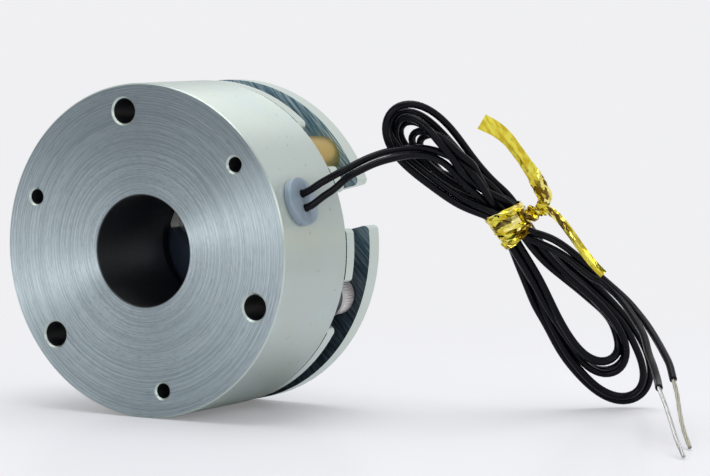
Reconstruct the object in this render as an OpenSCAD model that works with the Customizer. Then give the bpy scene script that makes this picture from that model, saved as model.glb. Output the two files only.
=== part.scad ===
// Power-off brake: a coil body with three captive mounting screws, a sprung armature,
// a friction disc driven by a hub, and an end plate held off the body by three spacers.
// Its two leads leave a grommet in the rim and are tied up in a hank beside it.
// The origin is the centre of the body's bore on its mounting face. +Y runs into the brake
// along its axis, +X is to the right and +Z is up, as seen looking at the mounting face.

/* [Coil body] */
// Outside diameter of the body
body_d = 72; // [70:0.5:80]
// Length of the body along the axis
body_len = 25; // [23:0.5:30]
// Chamfer round the mounting face
body_edge = 0.3; // [0.1:0.1:0.8]
// Width of the inner pole, from the bore to the coil's groove
pole_w = 7; // [6.5:0.1:9]
// Chamfer at both ends of the bore
bore_edge = 0.2; // [0.1:0.1:0.6]

/* [Hole circle] */
// Distance from the rim to the circle that all six holes lie on
hole_margin = 5.7; // [5.2:0.1:5.9]
// Angle of the first mounting screw, anticlockwise from +X
hole_turn = 99.3; // [95:0.1:104]
// Angle from each mounting screw to the tapped hole before it
hole_step = 60; // [54:1:66]
// Diameter of the mounting screws' holes
mount_hole_d = 5.5; // [5.3:0.1:5.8]
// Core diameter of the tapped holes
tap_core_d = 3.3; // [3.1:0.1:3.6]
// Chamfer at the mouth of each hole
hole_edge = 0.4; // [0.2:0.1:0.5]

/* [Coil] */
// Width of the coil's groove
groove_w = 6.5; // [5.5:0.1:7]
// Wall between the coil's groove and the mounting screws' holes
groove_wall = 2.05; // [1.8:0.05:3.5]
// Depth of the groove from the rear face
groove_depth = 17.5; // [14:0.5:19]
// Wall of the bobbin
bobbin_wall = 0.8; // [0.5:0.1:1.2]
// Room round the bobbin
bobbin_fit = 0.2; // [0.1:0.05:0.3]
// Thickness of the potting that closes the groove
potting_t = 0.8; // [0.5:0.1:1.2]

/* [Torque springs] */
// Number of torque springs
spring_count = 6; // [3:1:8]
// Outside diameter of a spring
spring_d = 3.6; // [3:0.1:3.8]
// Thickness of the spring wire
spring_wire = 0.5; // [0.4:0.05:0.7]
// Length of a spring pressed flush with the rear face
spring_len = 12; // [8:0.5:14]
// Room round a spring in its pocket
spring_fit = 0.15; // [0.1:0.05:0.25]

/* [Armature] */
// Thickness of the armature
armature_t = 3; // [2.5:0.1:4]
// How much wider the armature's hole is than the bore, all round
armature_hole_step = 1; // [0.5:0.1:2.5]
// Gap from the body to the armature with the brake on
air_gap = 0.2; // [0.1:0.05:0.4]
// How far the plates' rims lie inside the body's rim
plate_inset = 0.1; // [0:0.05:0.4]
// Width of the notches for the screws and spacers
notch_w = 10.5; // [10:0.1:11]
// Radius at the mouth of every notch
notch_corner = 1.3; // [0.8:0.1:1.6]
// Width of the armature's notch beside the leads
armature_slot_w = 8; // [6:0.5:9]
// Depth of that notch from the armature's rim
armature_slot_depth = 8.9; // [5.9:0.1:9.4]
// Angle of that notch, anticlockwise from +X
armature_slot_turn = 14; // [12:0.5:15]

/* [Friction disc] */
// Room between the disc and the spacers round it
disc_room = 0.55; // [0.3:0.05:2.5]
// Width of the linings' rings
lining_w = 8.8; // [7:0.1:10]
// Thickness of each lining
lining_t = 2; // [1.5:0.1:2.5]
// Thickness of the carrier between the linings
web_t = 2.5; // [2:0.1:3.5]
// How far the carrier's boss lies inside the linings' faces
boss_inset = 0.4; // [0.2:0.05:0.8]
// Room between the carrier's boss and the linings
boss_fit = 0.2; // [0.1:0.05:0.3]

/* [Hub drive] */
// Wall from the round ends of the drive hole to the linings
drive_wall = 3.2; // [2.2:0.1:5]
// Width of the drive hole across its flats
drive_w = 12.5; // [12:0.5:14]
// Radius in the corners of the drive hole
drive_corner = 1.5; // [1:0.1:2]
// Angle of the drive hole's long axis
drive_turn = 138; // [130:1:146]
// Room round the hub in the drive hole
drive_fit = 0.1; // [0.05:0.01:0.15]

/* [Hub] */
// Depth of the hub's front face behind the disc's front face
hub_set = 3.6; // [3:0.1:4.2]
// Length of the hub's driving end
drive_len = 3.4; // [3:0.1:4]
// Length of the hub's boss behind its driving end
boss_len = 5.8; // [5:0.1:9]
// Diameter of the hub's boss
boss_d = 19.5; // [18:0.5:24]
// Bore for the shaft
shaft_d = 8; // [6:0.5:9]
// Width of the keyway
key_w = 3; // [2:0.5:3]
// Depth of the keyway past the bore
key_depth = 1.4; // [1:0.1:1.8]
// Diameter of the set screws
setscrew_d = 3; // [2.5:0.5:3]
// Length of the set screws
setscrew_len = 4; // [3:0.5:4]
// Chamfer on the hub's edges
hub_edge = 0.3; // [0.2:0.05:0.5]

/* [End plate] */
// Thickness of the end plate
plate_t = 4; // [3.5:0.1:6]
// How far the end plate reaches inside the linings' rings
plate_reach = 0.2; // [0:0.1:1]
// Diameter of the key holes behind the mounting screws
key_hole_d = 4.6; // [4.2:0.1:5.6]
// Width of the end plate's notch
plate_slot_w = 9; // [8:0.5:9.5]
// Depth of that notch from the plate's rim
plate_slot_depth = 9.9; // [6.9:0.1:10.4]
// Radius at the bottom corners of that notch
plate_slot_fillet = 1.2; // [0.6:0.1:2]
// Angle of that notch, anticlockwise from +X
plate_slot_turn = 15; // [14:0.5:16]

/* [Fasteners] */
// Outside diameter of a spacer
spacer_d = 9.5; // [9:0.1:9.8]
// Thread diameter of the assembly screws
assembly_d = 4; // [3.8:0.1:4.2]
// Head diameter of the assembly screws
assembly_head_d = 8; // [7:0.1:8.4]
// Length of the assembly screws over their flush heads
assembly_len = 25; // [20:0.5:27]
// Room round an assembly screw
assembly_fit = 0.15; // [0.1:0.05:0.25]
// Thread diameter of the mounting screws
mount_d = 5; // [4.6:0.1:5]
// Head diameter of the mounting screws
mount_head_d = 8.5; // [8:0.1:8.6]
// Head height of the mounting screws
mount_head_h = 5; // [4:0.1:5.4]
// Length of the mounting screws under their heads
mount_len = 20; // [14:0.5:28]
// Hexagon across flats in the mounting screws
mount_hex = 4; // [3:0.5:4]
// Chamfer round the screw heads
head_edge = 0.4; // [0.2:0.05:0.6]
// Gap from a pulled back screw to the end plate
screw_rest = 0.3; // [0.2:0.05:0.6]
// Outside diameter of the spring washers
washer_d = 9.2; // [8.6:0.1:9.4]
// Thickness of the spring washers
washer_t = 1.2; // [0.8:0.1:1.4]
// Slit in the spring washers
washer_slit = 0.7; // [0.4:0.1:1.2]

/* [Grommet] */
// Angle of the grommet on the rim, anticlockwise from +X
grommet_turn = 18; // [14:0.5:22]
// Distance of the grommet behind the mounting face
grommet_y = 8.3; // [7:0.1:12]
// Diameter of the grommet's flange
flange_d = 10.4; // [9:0.1:11.5]
// Height of the flange above the rim
flange_t = 1.5; // [1:0.1:2.5]
// Diameter of the grommet's neck
neck_d = 6.2; // [5.4:0.1:6.8]
// Length of the neck inside the rim
neck_len = 3; // [2:0.5:5]
// Room round the neck, and under the flange
grommet_fit = 0.1; // [0.05:0.05:0.2]

/* [Leads] */
// Diameter of a lead over its insulation
wire_d = 1.6; // [1.2:0.1:1.8]
// Diameter of the bare strands
bare_d = 0.9; // [0.6:0.1:1]
// Distance between the two leads at the grommet
wire_gap = 3.1; // [2.6:0.1:3.6]
// Thickness of the hank
hank_t = 6; // [5:0.5:7]
// Width of the hank under the tie
waist_w = 7.2; // [6:0.2:8]
// Angle of the hank's plane about the vertical
hank_turn = 31; // [29:1:33]
// Lean of the hank from the vertical
hank_lean = 15; // [13:1:17]

/* [Twist tie] */
// Length of the band along the hank
band_len = 7.9; // [6:0.1:8.5]
// Thickness of the band
band_t = 0.5; // [0.3:0.1:0.8]
// Room between the band and the hank
band_fit = 0.2; // [0.1:0.05:0.3]
// Width of a loose end of the tie
tail_w = 3.3; // [2.5:0.1:4]
// Thickness of a loose end of the tie
tail_t = 0.5; // [0.4:0.1:0.8]
// Diameter of the twisted knot
knot_d = 3.8; // [3:0.1:4.4]
// Length of the twisted knot
knot_len = 4; // [3:0.5:5]

/* [Hidden] */
$fn = 96;

// How far a cut runs past the face that it opens
past = 1;
// How far the rounding of a notch's mouth would run past the rim, so that the two cross
mouth_ease = 0.03;
// Three of every screw and spacer stand on the hole circle
turns = [0, 120, 240];

body_r = body_d / 2;
hole_r = body_r - hole_margin;
plate_r = body_r - plate_inset;
disc_r = hole_r - spacer_d / 2 - disc_room;
lining_in_r = disc_r - lining_w;
drive_l = 2 * (lining_in_r - drive_wall);
plate_hole_r = lining_in_r - plate_reach;
groove_out_r = hole_r - mount_hole_d / 2 - groove_wall;
groove_in_r = groove_out_r - groove_w;
bore_r = groove_in_r - pole_w;
armature_hole_r = bore_r + armature_hole_step;
// The torque springs stand halfway between the bore and the coil's groove
spring_r = (bore_r + groove_in_r) / 2;

// Places along the axis, each measured from the mounting face
armature_y = body_len + air_gap;
disc_y = armature_y + armature_t;
disc_t = 2 * lining_t + web_t;
web_y = disc_y + lining_t;
plate_y = disc_y + disc_t;
plate_back = plate_y + plate_t;
spacer_len = plate_y - body_len;
hub_y = disc_y + hub_set;
boss_y = hub_y + drive_len;
hub_back = boss_y + boss_len;

groove_y = body_len - groove_depth;
bobbin_y = groove_y + bobbin_fit / 2;
potting_back = body_len - 0.15;
potting_y = potting_back - potting_t;
bobbin_back = potting_y - 0.05;
bobbin_in_r = groove_in_r + bobbin_fit;
bobbin_out_r = groove_out_r - bobbin_fit;
winding_fit = 0.05;
winding_margin = 0.2;

assembly_r = assembly_d / 2;
assembly_hole_r = assembly_r + assembly_fit;
assembly_tip = plate_back - assembly_len;
thread_fit = 0.05;
assembly_hex = 2.5;
assembly_hex_depth = 1.4;

head_far = plate_y - screw_rest;
head_near = head_far - mount_head_h;
washer_y = head_near - washer_t;
mount_tip = head_near - mount_len;
mount_hex_depth = mount_head_h / 2;
washer_fit = 0.1;
washer_slant = 25;
tip_edge = 0.5;

setscrew_y = boss_y + boss_len / 2;
setscrew_hex = 1.5;
setscrew_hex_depth = 1.5;
setscrew_fit = 0.05;
// Angles of the set screws from the hub's long axis, the first one over the key
setscrew_turns = [90, 180];

lead_hole_r = neck_d / 2 + grommet_fit;
flange_top = body_r + flange_t;
wire_fit = 0.05;
// Where the leads start, just outside the coil
wire_start_r = groove_out_r + 0.3;

// The upper lead from the grommet to the hank
upper_route = [
    [39.5, 9, 15.5], [42.5, 11, 17.5], [44.5, 13.5, 19], [46.5, 16.5, 20.5], [48, 20.5, 21.5],
    [50, 23.5, 22], [52.5, 27, 22.5], [54.5, 31, 22], [56.5, 34, 20]
];
// The lower lead from the grommet to the hank
lower_route = [
    [39.5, 9.5, 12.5], [41.5, 10.5, 14], [44, 12, 16.5], [46, 14, 18], [48.5, 16.5, 19.5],
    [51, 20, 20.5], [53, 24.5, 21], [55, 29, 20.5], [56, 33, 18.5]
];
// The two leads from the hank to the ends of their insulation
left_route = [
    [73.5, 46.5, 1], [78.5, 48.5, -3], [83.5, 50, -7.5], [87.5, 50, -11], [91.5, 47.5, -13],
    [95.5, 44.5, -14.5], [99.5, 40.5, -16], [102.5, 36, -18], [106, 31, -20.5],
    [109, 26.5, -22.5], [111.5, 21.5, -24.5]
];
right_route = [
    [73.5, 46.5, 3.5], [79, 48.5, -1], [84, 50.5, -5.5], [90, 50.5, -10], [94, 49, -12.5],
    [98, 46, -14.5], [101.5, 43, -17], [104.5, 39.5, -19.5], [107.5, 36, -21.5],
    [110, 32.5, -24]
];
// The bare strands, each from inside its insulation to its tip on the floor
left_bare_route = [
    [109, 26.5, -22.5], [111.5, 21.5, -24.5], [115.5, 17, -27], [118.5, 12.5, -30],
    [122, 8.5, -32.5], [124.5, 6, -35.4]
];
right_bare_route = [
    [107.5, 36, -21.5], [110, 32.5, -24], [112, 28.5, -26.5], [114.5, 24.5, -29.5],
    [117.5, 21, -32.5], [120.5, 17.5, -35.4]
];

// The hank leans on its lower end, which touches the surface that the body stands on
hank_base = [80.8, 66.6, -body_r + hank_t / 2 * sin(hank_lean)];
// Middle of the tie and its turn, in the hank's own plane
waist = [-24.8, 42.9];
waist_turn = 30;
waist_reach = 5;
// The hank's outline in its own plane, up the right side and down the left
hank_outline = concat(
    [[-2.5, 0.6], [0.8, 0], [4, 1.2], [6.6, 4.5], [7.2, 8], [5.6, 14], [2.4, 20], [-3.3, 29], [-10, 36]],
    [waist_corner(1, -1), waist_corner(1, 1)],
    [[-27.5, 50.8], [-32.5, 57], [-37.5, 63.2], [-42.4, 68], [-47.5, 70.6], [-51.8, 69], [-52.8, 65.5]],
    [[-50.4, 60], [-44, 53.6], [-35.5, 47.2]],
    [waist_corner(-1, 1), waist_corner(-1, -1)],
    [[-21.2, 29], [-18.3, 22.6], [-15.6, 15.4], [-11.5, 8.4], [-7, 3.6]]
);
// The two loose ends of the twist tie, in the hank's own plane, the third value in front of it
tail_up_route = [
    [-17.6, 47.8, 3.4], [-17.4, 50.2, 4.8], [-18.9, 53.6, 6], [-21.5, 57.4, 7], [-24.7, 61, 7.5],
    [-28, 64.6, 8], [-31.5, 68, 8.2]
];
tail_down_route = [
    [-17, 45.9, 3.4], [-15.6, 45, 4.6], [-13.4, 43.2, 6.4], [-10.3, 40, 8.3], [-6.9, 36.9, 10],
    [-4.3, 34.8, 11]
];

function unit(v) = v / norm(v);
function waist_corner(side, up) =
    waist + side * waist_w / 2 * [cos(waist_turn), sin(waist_turn)]
        + up * waist_reach * [-sin(waist_turn), cos(waist_turn)];

// A point at a radius, an offset along the rim and a distance along the axis
function rim_point(radius, offset, y, turn) =
    [radius * cos(turn) - offset * sin(turn), y, radius * sin(turn) + offset * cos(turn)];
// The straight start of a lead, from the coil out through the grommet
function lead_start(side) = [
    for (radius = [wire_start_r, body_r - neck_len, flange_top + wire_d / 2])
        rim_point(radius, side * wire_gap / 2, grommet_y, grommet_turn)
];

// A closed curve through the given points
function curve_point(a, b, c, d, t) =
    (2 * b + (c - a) * t + (2 * a - 5 * b + 4 * c - d) * t * t + (3 * b - a - 3 * c + d) * t * t * t) / 2;
function closed_curve(p, steps) = [
    for (i = [0:len(p) - 1], k = [0:steps - 1])
        curve_point(p[(i + len(p) - 1) % len(p)], p[i], p[(i + 1) % len(p)], p[(i + 2) % len(p)], k / steps)
];

// The same curve, open at both ends
function open_curve(p, steps) =
    let (last = len(p) - 1)
    concat(
        [for (i = [0:last - 1], k = [0:steps - 1])
            curve_point(p[max(i - 1, 0)], p[i], p[i + 1], p[min(i + 2, last)], k / steps)],
        [p[last]]
    );

function heading(p, i) = unit(p[min(i + 1, len(p) - 1)] - p[max(i - 1, 0)]);
function section_at(p, i, section, up) =
    let (t = heading(p, i), side = unit(cross(t, up)), top = cross(side, t))
    [for (q = section) p[i] + q[0] * side + q[1] * top];

// Sweeps an outline along a list of points, with its own Y axis held towards up
module sweep(route, section, up) {
    n = len(section);
    last = len(route) - 1;
    polyhedron(
        points = [for (i = [0:last]) each section_at(route, i, section, up)],
        faces = concat(
            [[for (k = [n - 1:-1:0]) k], [for (k = [0:n - 1]) last * n + k]],
            [for (i = [0:last - 1], k = [0:n - 1])
                [i * n + k, i * n + (k + 1) % n, (i + 1) * n + (k + 1) % n]],
            [for (i = [0:last - 1], k = [0:n - 1])
                [i * n + k, (i + 1) * n + (k + 1) % n, (i + 1) * n + k]]
        ),
        convexity = 6
    );
}
function eight_sides(d) = [for (k = [0:7]) d / 2 * [cos(45 * k), sin(45 * k)]];
module wire(route, d) {
    sweep(route, eight_sides(d), [0.3, 0.2, 1]);
}

// Solids along the brake's axis, which start at y
module rod(y, len, r) {
    translate([0, y + len, 0])
        rotate([90, 0, 0])
        cylinder(h = len, r = r);
}
module cone(y, len, r_front, r_back) {
    translate([0, y + len, 0])
        rotate([90, 0, 0])
        cylinder(h = len, r1 = r_back, r2 = r_front);
}
module slab(y, len) {
    translate([0, y + len, 0])
        rotate([90, 0, 0])
        linear_extrude(len)
        children();
}
module ring(y, len, r_out, r_in) {
    difference() {
        rod(y, len, r_out);
        rod(y - past, len + 2 * past, r_in);
    }
}
module turned(profile) {
    rotate([-90, 0, 0])
        rotate_extrude()
        polygon(profile);
}
module at(turn, radius) {
    rotate([0, -turn, 0])
        translate([radius, 0, 0])
        children();
}
module on_screws() {
    for (turn = turns) at(hole_turn + turn, hole_r) children();
}
module on_taps() {
    for (turn = turns) at(hole_turn - hole_step + turn, hole_r) children();
}
// Chamfers that open a hole of radius r at its front or its back
module front_mouth(y, r, edge) {
    cone(y - past, past + edge, r + edge + past, r);
}
module back_mouth(y, r, edge) {
    cone(y - edge, past + edge, r, r + edge + past);
}
module hexagon(across) {
    circle(r = across / 2 / cos(30), $fn = 6);
}
// A rod with a chamfer at its back end, for a screw head
module head(y, len, r, edge) {
    rod(y, len - edge, r);
    cone(y + len - edge, edge, r, r - edge);
}

// A notch in a rim along +X, with a round bottom and a rounded mouth
module notch_outline(bottom, width, fillet) {
    half = width / 2;
    mouth = half + notch_corner;
    corner_r = plate_r - notch_corner + mouth_ease;
    mouth_x = sqrt(corner_r * corner_r - mouth * mouth);
    grow = (plate_r + past) / corner_r;
    translate([bottom + fillet, -half]) square([plate_r + past - bottom - fillet, width]);
    if (fillet < half) translate([bottom, fillet - half]) square([fillet, width - 2 * fillet]);
    for (side = [-1, 1]) {
        translate([bottom + fillet, side * (half - fillet)]) circle(fillet);
        difference() {
            polygon([
                [mouth_x, side * (half - 0.5)], [plate_r + past, side * (half - 0.5)],
                [plate_r + past, side * mouth * grow], [mouth_x * grow, side * mouth * grow],
                [mouth_x, side * mouth]
            ]);
            translate([mouth_x, side * mouth]) circle(notch_corner);
        }
    }
}
// The same notch for a screw or a spacer, round about the hole circle
module round_notch() {
    notch_outline(hole_r - notch_w / 2, notch_w, notch_w / 2);
}

// Two flats and two round ends, with rounded corners
module double_d(length, width, corner) {
    reach = length / 2 - corner;
    high = width / 2 - corner;
    along = sqrt(reach * reach - high * high);
    far = length / 2 + past;
    square([2 * along, width], center = true);
    for (side = [-1, 1])
        intersection() {
            circle(length / 2);
            polygon([[0, 0], [side * far, far * high / along], [side * far, -far * high / along]]);
        }
    for (x = [-along, along], y = [-high, high]) translate([x, y]) circle(corner);
}

module stator_core() {
    color([0.80, 0.81, 0.77])
        difference() {
            turned([
                [bore_r + bore_edge, 0], [body_r - body_edge, 0], [body_r, body_edge],
                [body_r, body_len - hole_edge], [body_r - hole_edge, body_len],
                [groove_out_r, body_len], [groove_out_r, groove_y],
                [groove_in_r, groove_y], [groove_in_r, body_len],
                [bore_r + bore_edge, body_len], [bore_r, body_len - bore_edge], [bore_r, bore_edge]
            ]);
            on_screws() {
                rod(-past, body_len + 2 * past, mount_hole_d / 2);
                front_mouth(0, mount_hole_d / 2, hole_edge);
                back_mouth(body_len, mount_hole_d / 2, hole_edge);
            }
            on_taps() {
                rod(-past, body_len, tap_core_d / 2);
                front_mouth(0, tap_core_d / 2, hole_edge);
                rod(assembly_tip - past / 2, body_len, assembly_r + thread_fit);
                back_mouth(body_len, assembly_r + thread_fit, hole_edge);
            }
            for (i = [0:spring_count - 1])
                at(i * 360 / spring_count, spring_r)
                rod(body_len - spring_len, spring_len + past, spring_d / 2 + spring_fit);
            lead_hole();
        }
}
module lead_hole() {
    at(grommet_turn, groove_out_r - past)
        translate([0, grommet_y, 0])
        rotate([0, 90, 0])
        cylinder(h = body_r, r = lead_hole_r);
}
module coil_bobbin() {
    color([0.15, 0.15, 0.16])
        turned([
            [bobbin_in_r, bobbin_y], [bobbin_out_r, bobbin_y], [bobbin_out_r, bobbin_y + bobbin_wall],
            [bobbin_in_r + bobbin_wall, bobbin_y + bobbin_wall],
            [bobbin_in_r + bobbin_wall, bobbin_back - bobbin_wall],
            [bobbin_out_r, bobbin_back - bobbin_wall], [bobbin_out_r, bobbin_back],
            [bobbin_in_r, bobbin_back]
        ]);
}
module coil_winding() {
    y = bobbin_y + bobbin_wall + winding_fit;
    color([0.72, 0.40, 0.18])
        ring(
            y, bobbin_back - bobbin_wall - winding_fit - y,
            bobbin_out_r - winding_margin, bobbin_in_r + bobbin_wall + winding_fit
        );
}
module potting_ring() {
    color([0.10, 0.10, 0.11])
        ring(
            potting_y, potting_t,
            groove_out_r - winding_fit, groove_in_r + winding_fit
        );
}
module torque_springs() {
    color([0.62, 0.63, 0.65])
        for (i = [0:spring_count - 1])
            at(i * 360 / spring_count, spring_r)
            ring(body_len - spring_len, spring_len, spring_d / 2, spring_d / 2 - spring_wire);
}
module armature_plate() {
    color([0.62, 0.64, 0.66])
        difference() {
            rod(armature_y, armature_t, plate_r);
            rod(armature_y - past, armature_t + 2 * past, armature_hole_r);
            slab(armature_y - past, armature_t + 2 * past) {
                for (turn = turns) {
                    rotate(hole_turn + turn) round_notch();
                    rotate(hole_turn - hole_step + turn) round_notch();
                }
                rotate(armature_slot_turn)
                    notch_outline(plate_r - armature_slot_depth, armature_slot_w, plate_slot_fillet);
            }
        }
}
module friction_carrier() {
    color([0.40, 0.45, 0.52])
        difference() {
            union() {
                rod(web_y, web_t, disc_r);
                rod(disc_y + boss_inset, disc_t - 2 * boss_inset, lining_in_r - boss_fit);
            }
            slab(disc_y, disc_t)
                rotate(drive_turn)
                double_d(drive_l, drive_w, drive_corner);
        }
}
module lining(y) {
    color([0.30, 0.27, 0.24])
        ring(y, lining_t, disc_r, lining_in_r);
}
module lining_front() {
    lining(disc_y);
}
module lining_rear() {
    lining(web_y + web_t);
}
module drive_hub() {
    color([0.70, 0.71, 0.72])
        difference() {
            union() {
                slab(hub_y, drive_len)
                    rotate(drive_turn)
                    double_d(drive_l - 2 * drive_fit, drive_w - 2 * drive_fit, drive_corner);
                head(boss_y, boss_len, boss_d / 2, hub_edge);
            }
            rod(hub_y - past, hub_back - hub_y + 2 * past, shaft_d / 2);
            front_mouth(hub_y, shaft_d / 2, hub_edge);
            back_mouth(hub_back, shaft_d / 2, hub_edge);
            slab(hub_y - past, hub_back - hub_y + 2 * past)
                rotate(drive_turn + setscrew_turns[0])
                translate([0, -key_w / 2])
                square([shaft_d / 2 + key_depth, key_w]);
            for (turn = setscrew_turns)
                at(drive_turn + turn, 0)
                translate([0, setscrew_y, 0])
                rotate([0, 90, 0])
                cylinder(h = boss_d, r = setscrew_d / 2 + setscrew_fit);
        }
}
module hub_setscrews() {
    color([0.20, 0.20, 0.21])
        for (turn = setscrew_turns)
            at(drive_turn + turn, boss_d / 2 - setscrew_len - hub_edge / 2)
            translate([0, setscrew_y, 0])
            rotate([0, 90, 0])
            difference() {
                cylinder(h = setscrew_len, r = setscrew_d / 2);
                translate([0, 0, setscrew_len - setscrew_hex_depth])
                    linear_extrude(setscrew_hex_depth + past)
                    hexagon(setscrew_hex);
            }
}
module end_plate() {
    color([0.66, 0.67, 0.68])
        difference() {
            rod(plate_y, plate_t, plate_r);
            rod(plate_y - past, plate_t + 2 * past, plate_hole_r);
            on_screws() rod(plate_y - past, plate_t + 2 * past, key_hole_d / 2);
            on_taps() {
                rod(plate_y - past, plate_t + 2 * past, assembly_hole_r);
                cone(
                    plate_back - assembly_head_d / 2 + assembly_r,
                    assembly_head_d / 2 - assembly_r + past,
                    assembly_hole_r, assembly_head_d / 2 + assembly_fit + past
                );
            }
            slab(plate_y - past, plate_t + 2 * past)
                rotate(plate_slot_turn)
                notch_outline(plate_r - plate_slot_depth, plate_slot_w, plate_slot_fillet);
        }
}
module spacer_sleeves() {
    color([0.74, 0.64, 0.40])
        on_taps() ring(body_len, spacer_len, spacer_d / 2, assembly_hole_r);
}
module assembly_screws() {
    color([0.35, 0.36, 0.38])
        on_taps() difference() {
            union() {
                cone(assembly_tip, tip_edge, assembly_r - tip_edge, assembly_r);
                rod(assembly_tip + tip_edge, assembly_len - tip_edge, assembly_r);
                cone(
                    plate_back - assembly_head_d / 2 + assembly_r, assembly_head_d / 2 - assembly_r,
                    assembly_r, assembly_head_d / 2
                );
            }
            slab(plate_back - assembly_hex_depth, assembly_hex_depth + past) hexagon(assembly_hex);
        }
}
module mounting_screw(turn) {
    color([0.78, 0.78, 0.77])
        at(hole_turn + turn, hole_r)
        difference() {
            union() {
                head(head_near, mount_head_h, mount_head_d / 2, head_edge);
                rod(mount_tip + tip_edge, mount_len - tip_edge, mount_d / 2);
                cone(mount_tip, tip_edge, mount_d / 2 - tip_edge, mount_d / 2);
            }
            slab(head_far - mount_hex_depth, mount_hex_depth + past) hexagon(mount_hex);
        }
}
module mounting_screw_1() {
    mounting_screw(turns[0]);
}
module mounting_screw_2() {
    mounting_screw(turns[1]);
}
module mounting_screw_3() {
    mounting_screw(turns[2]);
}
module spring_washer(turn) {
    color([0.70, 0.70, 0.69])
        at(hole_turn + turn, hole_r)
        difference() {
            ring(washer_y, washer_t, washer_d / 2, mount_d / 2 + washer_fit);
            translate([0, washer_y + washer_t / 2, -washer_d / 2])
                rotate([0, 0, washer_slant])
                cube([washer_slit, 4 * washer_t, washer_d], center = true);
        }
}
module spring_washer_1() {
    spring_washer(turns[0]);
}
module spring_washer_2() {
    spring_washer(turns[1]);
}
module spring_washer_3() {
    spring_washer(turns[2]);
}
module lead_grommet() {
    color([0.86, 0.89, 0.92])
        at(grommet_turn, 0)
        translate([0, grommet_y, 0])
        rotate([0, 90, 0])
        difference() {
            union() {
                translate([0, 0, body_r - neck_len])
                    cylinder(h = neck_len + flange_t / 2, r = neck_d / 2);
                difference() {
                    translate([0, 0, body_r - flange_t]) cylinder(h = 2 * flange_t, r = flange_d / 2);
                    under_flange();
                }
            }
            for (side = [-1, 1])
                translate([side * wire_gap / 2, 0, 0])
                cylinder(h = body_d, r = wire_d / 2 + wire_fit);
        }
}
// What the rim takes away below the flange, seen from the grommet
module under_flange() {
    rotate([90, 0, 0])
        translate([0, 0, -body_len])
        cylinder(h = 2 * body_len, r = body_r + grommet_fit / 2);
}
module lead_wire_upper() {
    color([0.06, 0.06, 0.07])
        wire(concat(lead_start(1), upper_route), wire_d);
}
module lead_wire_lower() {
    color([0.06, 0.06, 0.07])
        wire(concat(lead_start(-1), lower_route), wire_d);
}
module free_end_left() {
    color([0.06, 0.06, 0.07])
        wire(left_route, wire_d);
}
module free_end_right() {
    color([0.06, 0.06, 0.07])
        wire(right_route, wire_d);
}
module bare_end_left() {
    color([0.72, 0.72, 0.70])
        wire(left_bare_route, bare_d);
}
module bare_end_right() {
    color([0.60, 0.59, 0.54])
        wire(right_bare_route, bare_d);
}

// Puts children in the hank's own plane: X across it, Y up it, Z towards the front
module in_hank() {
    translate(hank_base)
        rotate([90 + hank_lean, 0, hank_turn])
        children();
}
module wire_hank() {
    color([0.06, 0.06, 0.07])
        in_hank()
        translate([0, 0, -hank_t / 2])
        linear_extrude(hank_t)
        polygon(closed_curve(hank_outline, 3));
}
module rounded(width, height, r) {
    square([width - 2 * r, height], center = true);
    square([width, height - 2 * r], center = true);
    for (x = [-1, 1], y = [-1, 1])
        translate([x * (width / 2 - r), y * (height / 2 - r)])
        circle(r);
}
// Puts children in the tie's own frame: X across the hank, Y along it
module in_tie() {
    in_hank()
        translate([waist[0], waist[1], 0])
        rotate([0, 0, waist_turn])
        children();
}
module twist_tie_band() {
    in_w = waist_w + 2 * band_fit;
    in_h = hank_t + 2 * band_fit;
    color([0.85, 0.70, 0.40])
        in_tie()
        rotate([90, 0, 0])
        linear_extrude(band_len, center = true)
        difference() {
            rounded(in_w + 2 * band_t, in_h + 2 * band_t, 3 * band_t);
            rounded(in_w, in_h, 2 * band_t);
        }
}
module twist_tie_knot() {
    color([0.85, 0.70, 0.40])
        in_tie()
        translate([waist_w / 2 + band_fit + band_t, 0, hank_t / 2])
        rotate([0, 90, 0])
        cylinder(h = knot_len, r = knot_d / 2);
}
module tie_tail(route) {
    strip = [[-tail_w, -tail_t] / 2, [tail_w, -tail_t] / 2, [tail_w, tail_t] / 2, [-tail_w, tail_t] / 2];
    color([0.85, 0.70, 0.40])
        in_hank()
        sweep(open_curve(route, 2), strip, [0, 0, 1]);
}
module twist_tie_end_upper() {
    tie_tail(tail_up_route);
}
module twist_tie_end_lower() {
    tie_tail(tail_down_route);
}

stator_core();
coil_bobbin();
coil_winding();
potting_ring();
torque_springs();
armature_plate();
friction_carrier();
lining_front();
lining_rear();
drive_hub();
hub_setscrews();
end_plate();
spacer_sleeves();
assembly_screws();
mounting_screw_1();
mounting_screw_2();
mounting_screw_3();
spring_washer_1();
spring_washer_2();
spring_washer_3();
lead_grommet();
lead_wire_upper();
lead_wire_lower();
wire_hank();
free_end_left();
free_end_right();
bare_end_left();
bare_end_right();
twist_tie_band();
twist_tie_knot();
twist_tie_end_upper();
twist_tie_end_lower();
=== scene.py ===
"""Power-off brake on a pale studio floor: the finishes, leads, twist tie, springs and screws."""

import math

import bmesh
import bpy
import numpy as np
from mathutils import Matrix, Vector


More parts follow.
